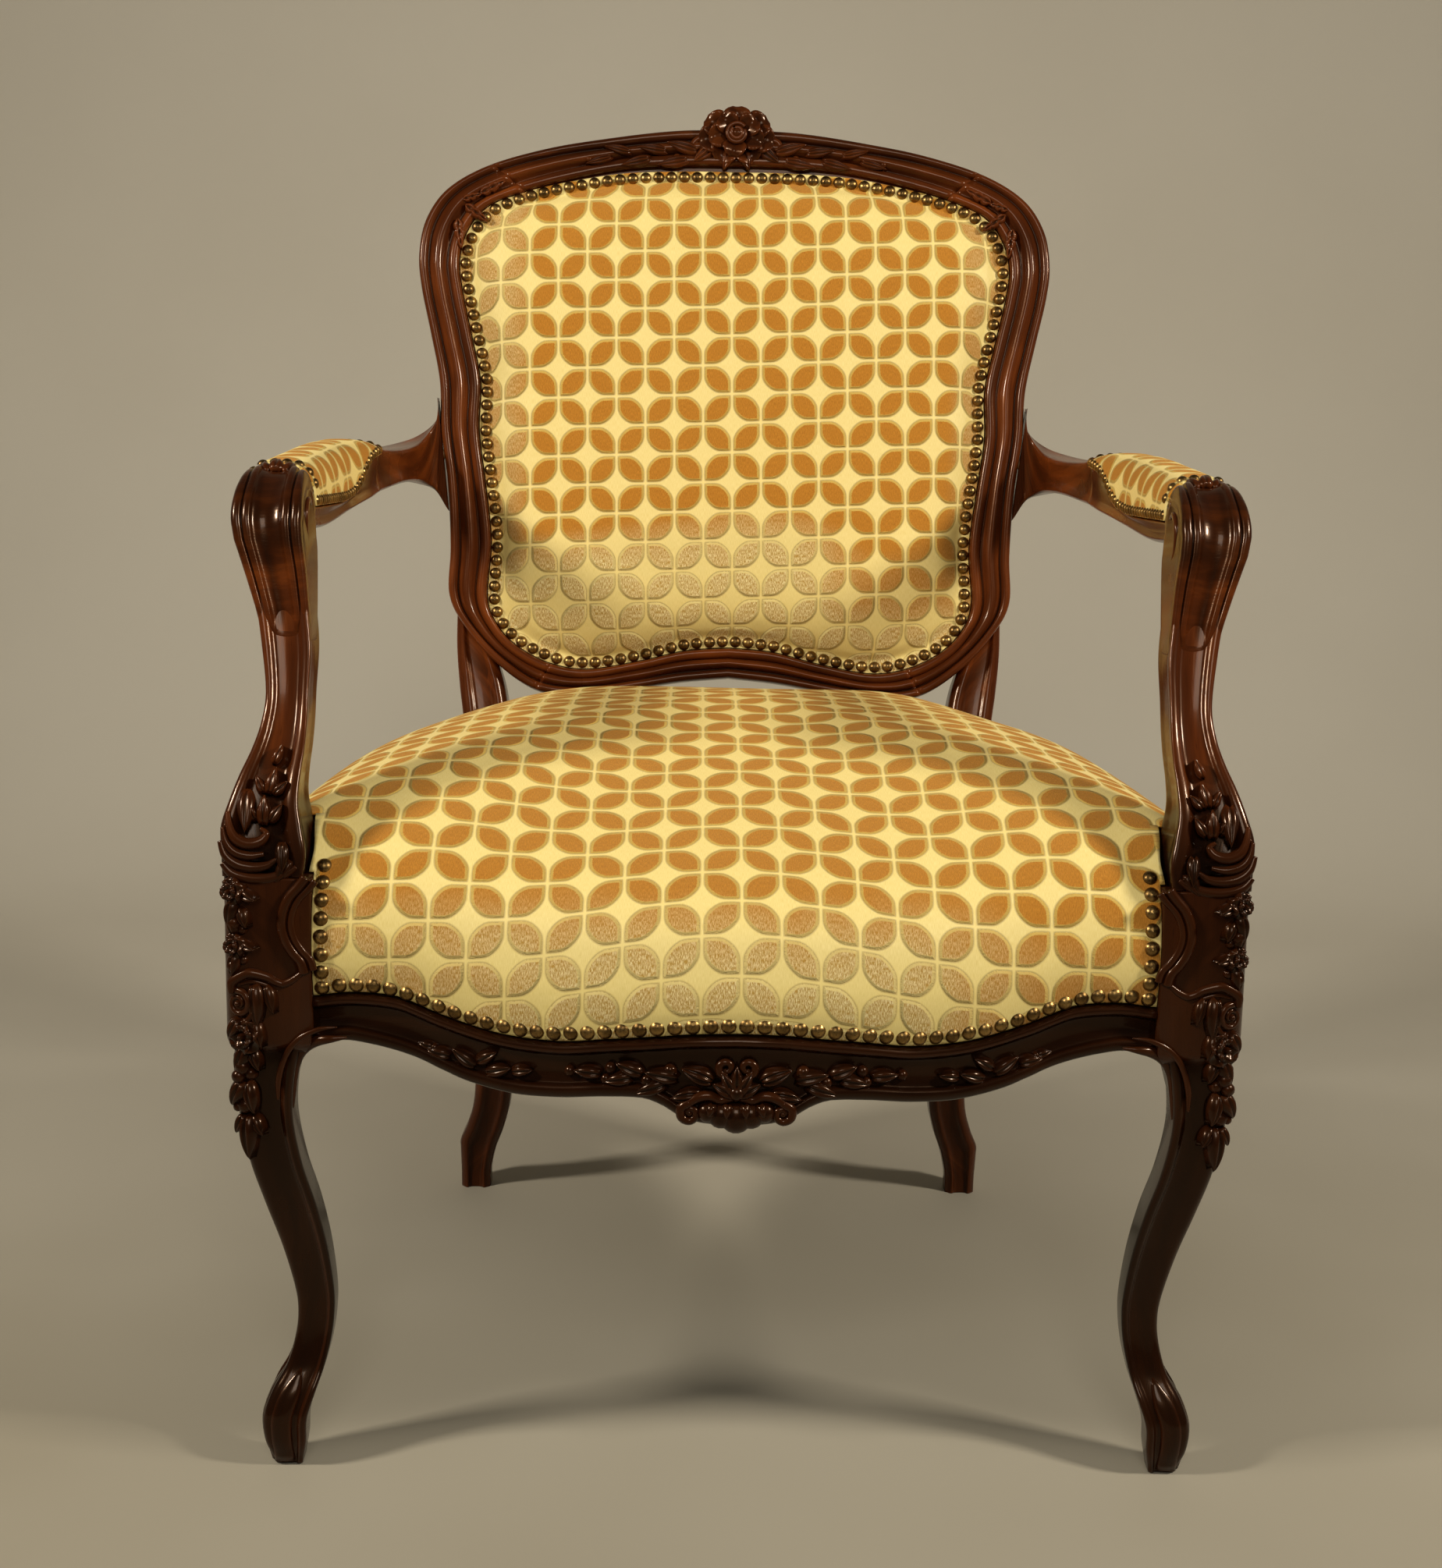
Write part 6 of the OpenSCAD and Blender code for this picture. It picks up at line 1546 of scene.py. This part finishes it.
one(seat_springs(), "wound_seat_springs", "seat_springs", STEEL, "spring_steel")
one(seat_webbing(), "woven_seat_webbing", "seat_webbing", CANVAS, "webbing")

# What holds each stretched cloth
SHEET_HOLDERS = {"sewn_hessian": ["wound_seat_springs"], "black_dust_cover": ["carved_front_rail"]}
for name, node, mat, slot, cuts, amount, size in (
        ("sewn_hessian", "seat_hessian", HESSIAN, "hessian", 2, 0.8, 0.02),
        ("packed_seat_stuffing", "seat_stuffing", FILLING, "stuffing", 3, 3.0, 0.03),
        ("packed_back_stuffing", "back_stuffing", FILLING, "stuffing", 3, 2.0, 0.03),
        ("woven_back_webbing", "back_webbing", CANVAS, "webbing", 2, 0.3, 0.01),
        ("black_dust_cover", "dust_cover", BLACK, "black_cloth", 5, 0.5, 0.05)):
    ob = from_node(name, node, mat, cuts, amount, size)
    apply_modifiers(ob)
    shade_smooth(ob.data)
    stand_in(ob, node, slot)
    "stuffing" in name
    if name in SHEET_HOLDERS:
        places = arr([v.co for v in ob.data.vertices])
        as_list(SHEET_HOLDERS[name])

# The nails, tacks, blocks, dowels and rear rail are the CAD's own solids
for node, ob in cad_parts.items():
    mat = BRASS if "nails" in node or "tacks" in node else WALNUT if node == "rear_rail" else \
        BEECH if node in ("corner_blocks", "back_dowels", "arm_dowels") else None
    if mat:
        for slot in ob.material_slots:
            slot.material = mat
        shade_smooth(ob.data, mat is BRASS)


# Floor, camera and lights

FLOOR_HALF, FLOOR_FRONT, BEND_Y, BEND_R, WALL_TOP = 4.5, -3.2, 1.3, 0.9, 4.5


def paper():
    """Plain paper with painted shade: darker under and before the chair, paler at the back."""
    m = Nodes("paper")
    floor_shade_tone = m.mix(m.step(m.xyz(m.obj)[1], -0.9, 1.9), srgb(136, 128, 109), srgb(208, 201, 185))
    cloud = m.step(m.noise(m.obj, 1.3, 3, 0.5), 0.3, 0.7, 0.0, 0.1)
    return m.look({"Base Color": m.mix(cloud, floor_shade_tone, srgb(255, 250, 236)), "Roughness": 0.7,
                   "Specular IOR Level": 0.3})


def backdrop():
    """One sheet of paper: the floor, a bend, and the wall."""
    line = [(FLOOR_FRONT, 0), (-1.5, 0), (0.5, 0), (BEND_Y, 0)]
    line += [(BEND_Y + BEND_R * math.sin(a), BEND_R - BEND_R * math.cos(a))
             for a in np.linspace(0, np.pi / 2, 13)[1:]]
    line.append((BEND_Y + BEND_R, WALL_TOP))
    v = [(x, y, z) for y, z in line for x in (-FLOOR_HALF, FLOOR_HALF)]
    me = bpy.data.meshes.new("studio_floor")
    me.from_pydata(v, [], [(2 * k, 2 * k + 1, 2 * k + 3, 2 * k + 2) for k in range(len(line) - 1)])
    shade_smooth(me)
    me.materials.append(paper())
    linked("studio_floor", me)


def lamp(name, place, aim, size, power, colour):
    d = bpy.data.lights.new(name, "AREA")
    d.shape = "RECTANGLE"
    d.size = d.size_y = size
    d.energy = power
    d.color = colour
    ob = linked(name, d)
    ob.location = place
    ob.rotation_euler = (Vector(aim) - Vector(place)).to_track_quat("-Z", "Y").to_euler()


backdrop()
for name, side in (("left_softbox", -1), ("right_softbox", 1)):
    lamp(name, (side * 1.65, -0.8, 1.55), (0, 0, 0.5), 0.26, 32, (1.0, 0.92, 0.79))
lamp("front_fill", (0, -2.8, 2.1), (0, 0.3, 0.6), 1.0, 24, (1.0, 0.95, 0.86))

world = bpy.data.worlds.new("studio")
scene.world = world
world.use_nodes = True
sky = world.node_tree.nodes["Background"].inputs
sky["Color"].default_value = (0.8, 0.76, 0.68, 1)
sky["Strength"].default_value = 0.08

# The camera that fits the photograph: its turn, tilt and roll, its place, and its focal length
# in pixels of a frame 2010 high
YAW, PITCH, ROLL = (math.radians(a) for a in (0.856, 9.021, 1.036))
CAM_PLACE = arr([-30.9, -1550.2 + SHIFT, 655.0]) / MM
FOCAL_PX, FRAME_PX, SENSOR = 2700, 2010, 36
fwd = arr([math.sin(YAW) * math.cos(PITCH), math.cos(YAW) * math.cos(PITCH), -math.sin(PITCH)])
level = arr([math.cos(YAW), -math.sin(YAW), 0])
rise = np.cross(level, fwd)
right, up = (math.cos(ROLL) * a + math.sin(ROLL) * b for a, b in ((level, rise), (rise, -level)))
cam = bpy.data.cameras.new("photo_camera")
cam.sensor_fit = "VERTICAL"
cam.sensor_height = SENSOR
cam.lens = FOCAL_PX / FRAME_PX * SENSOR
cam_ob = linked("photo_camera", cam)
cam_ob.matrix_world = Matrix([*np.stack([right, up, -fwd, CAM_PLACE], 1).tolist(), (0, 0, 0, 1)])
scene.camera = cam_ob
scene.view_settings.view_transform = "Standard"
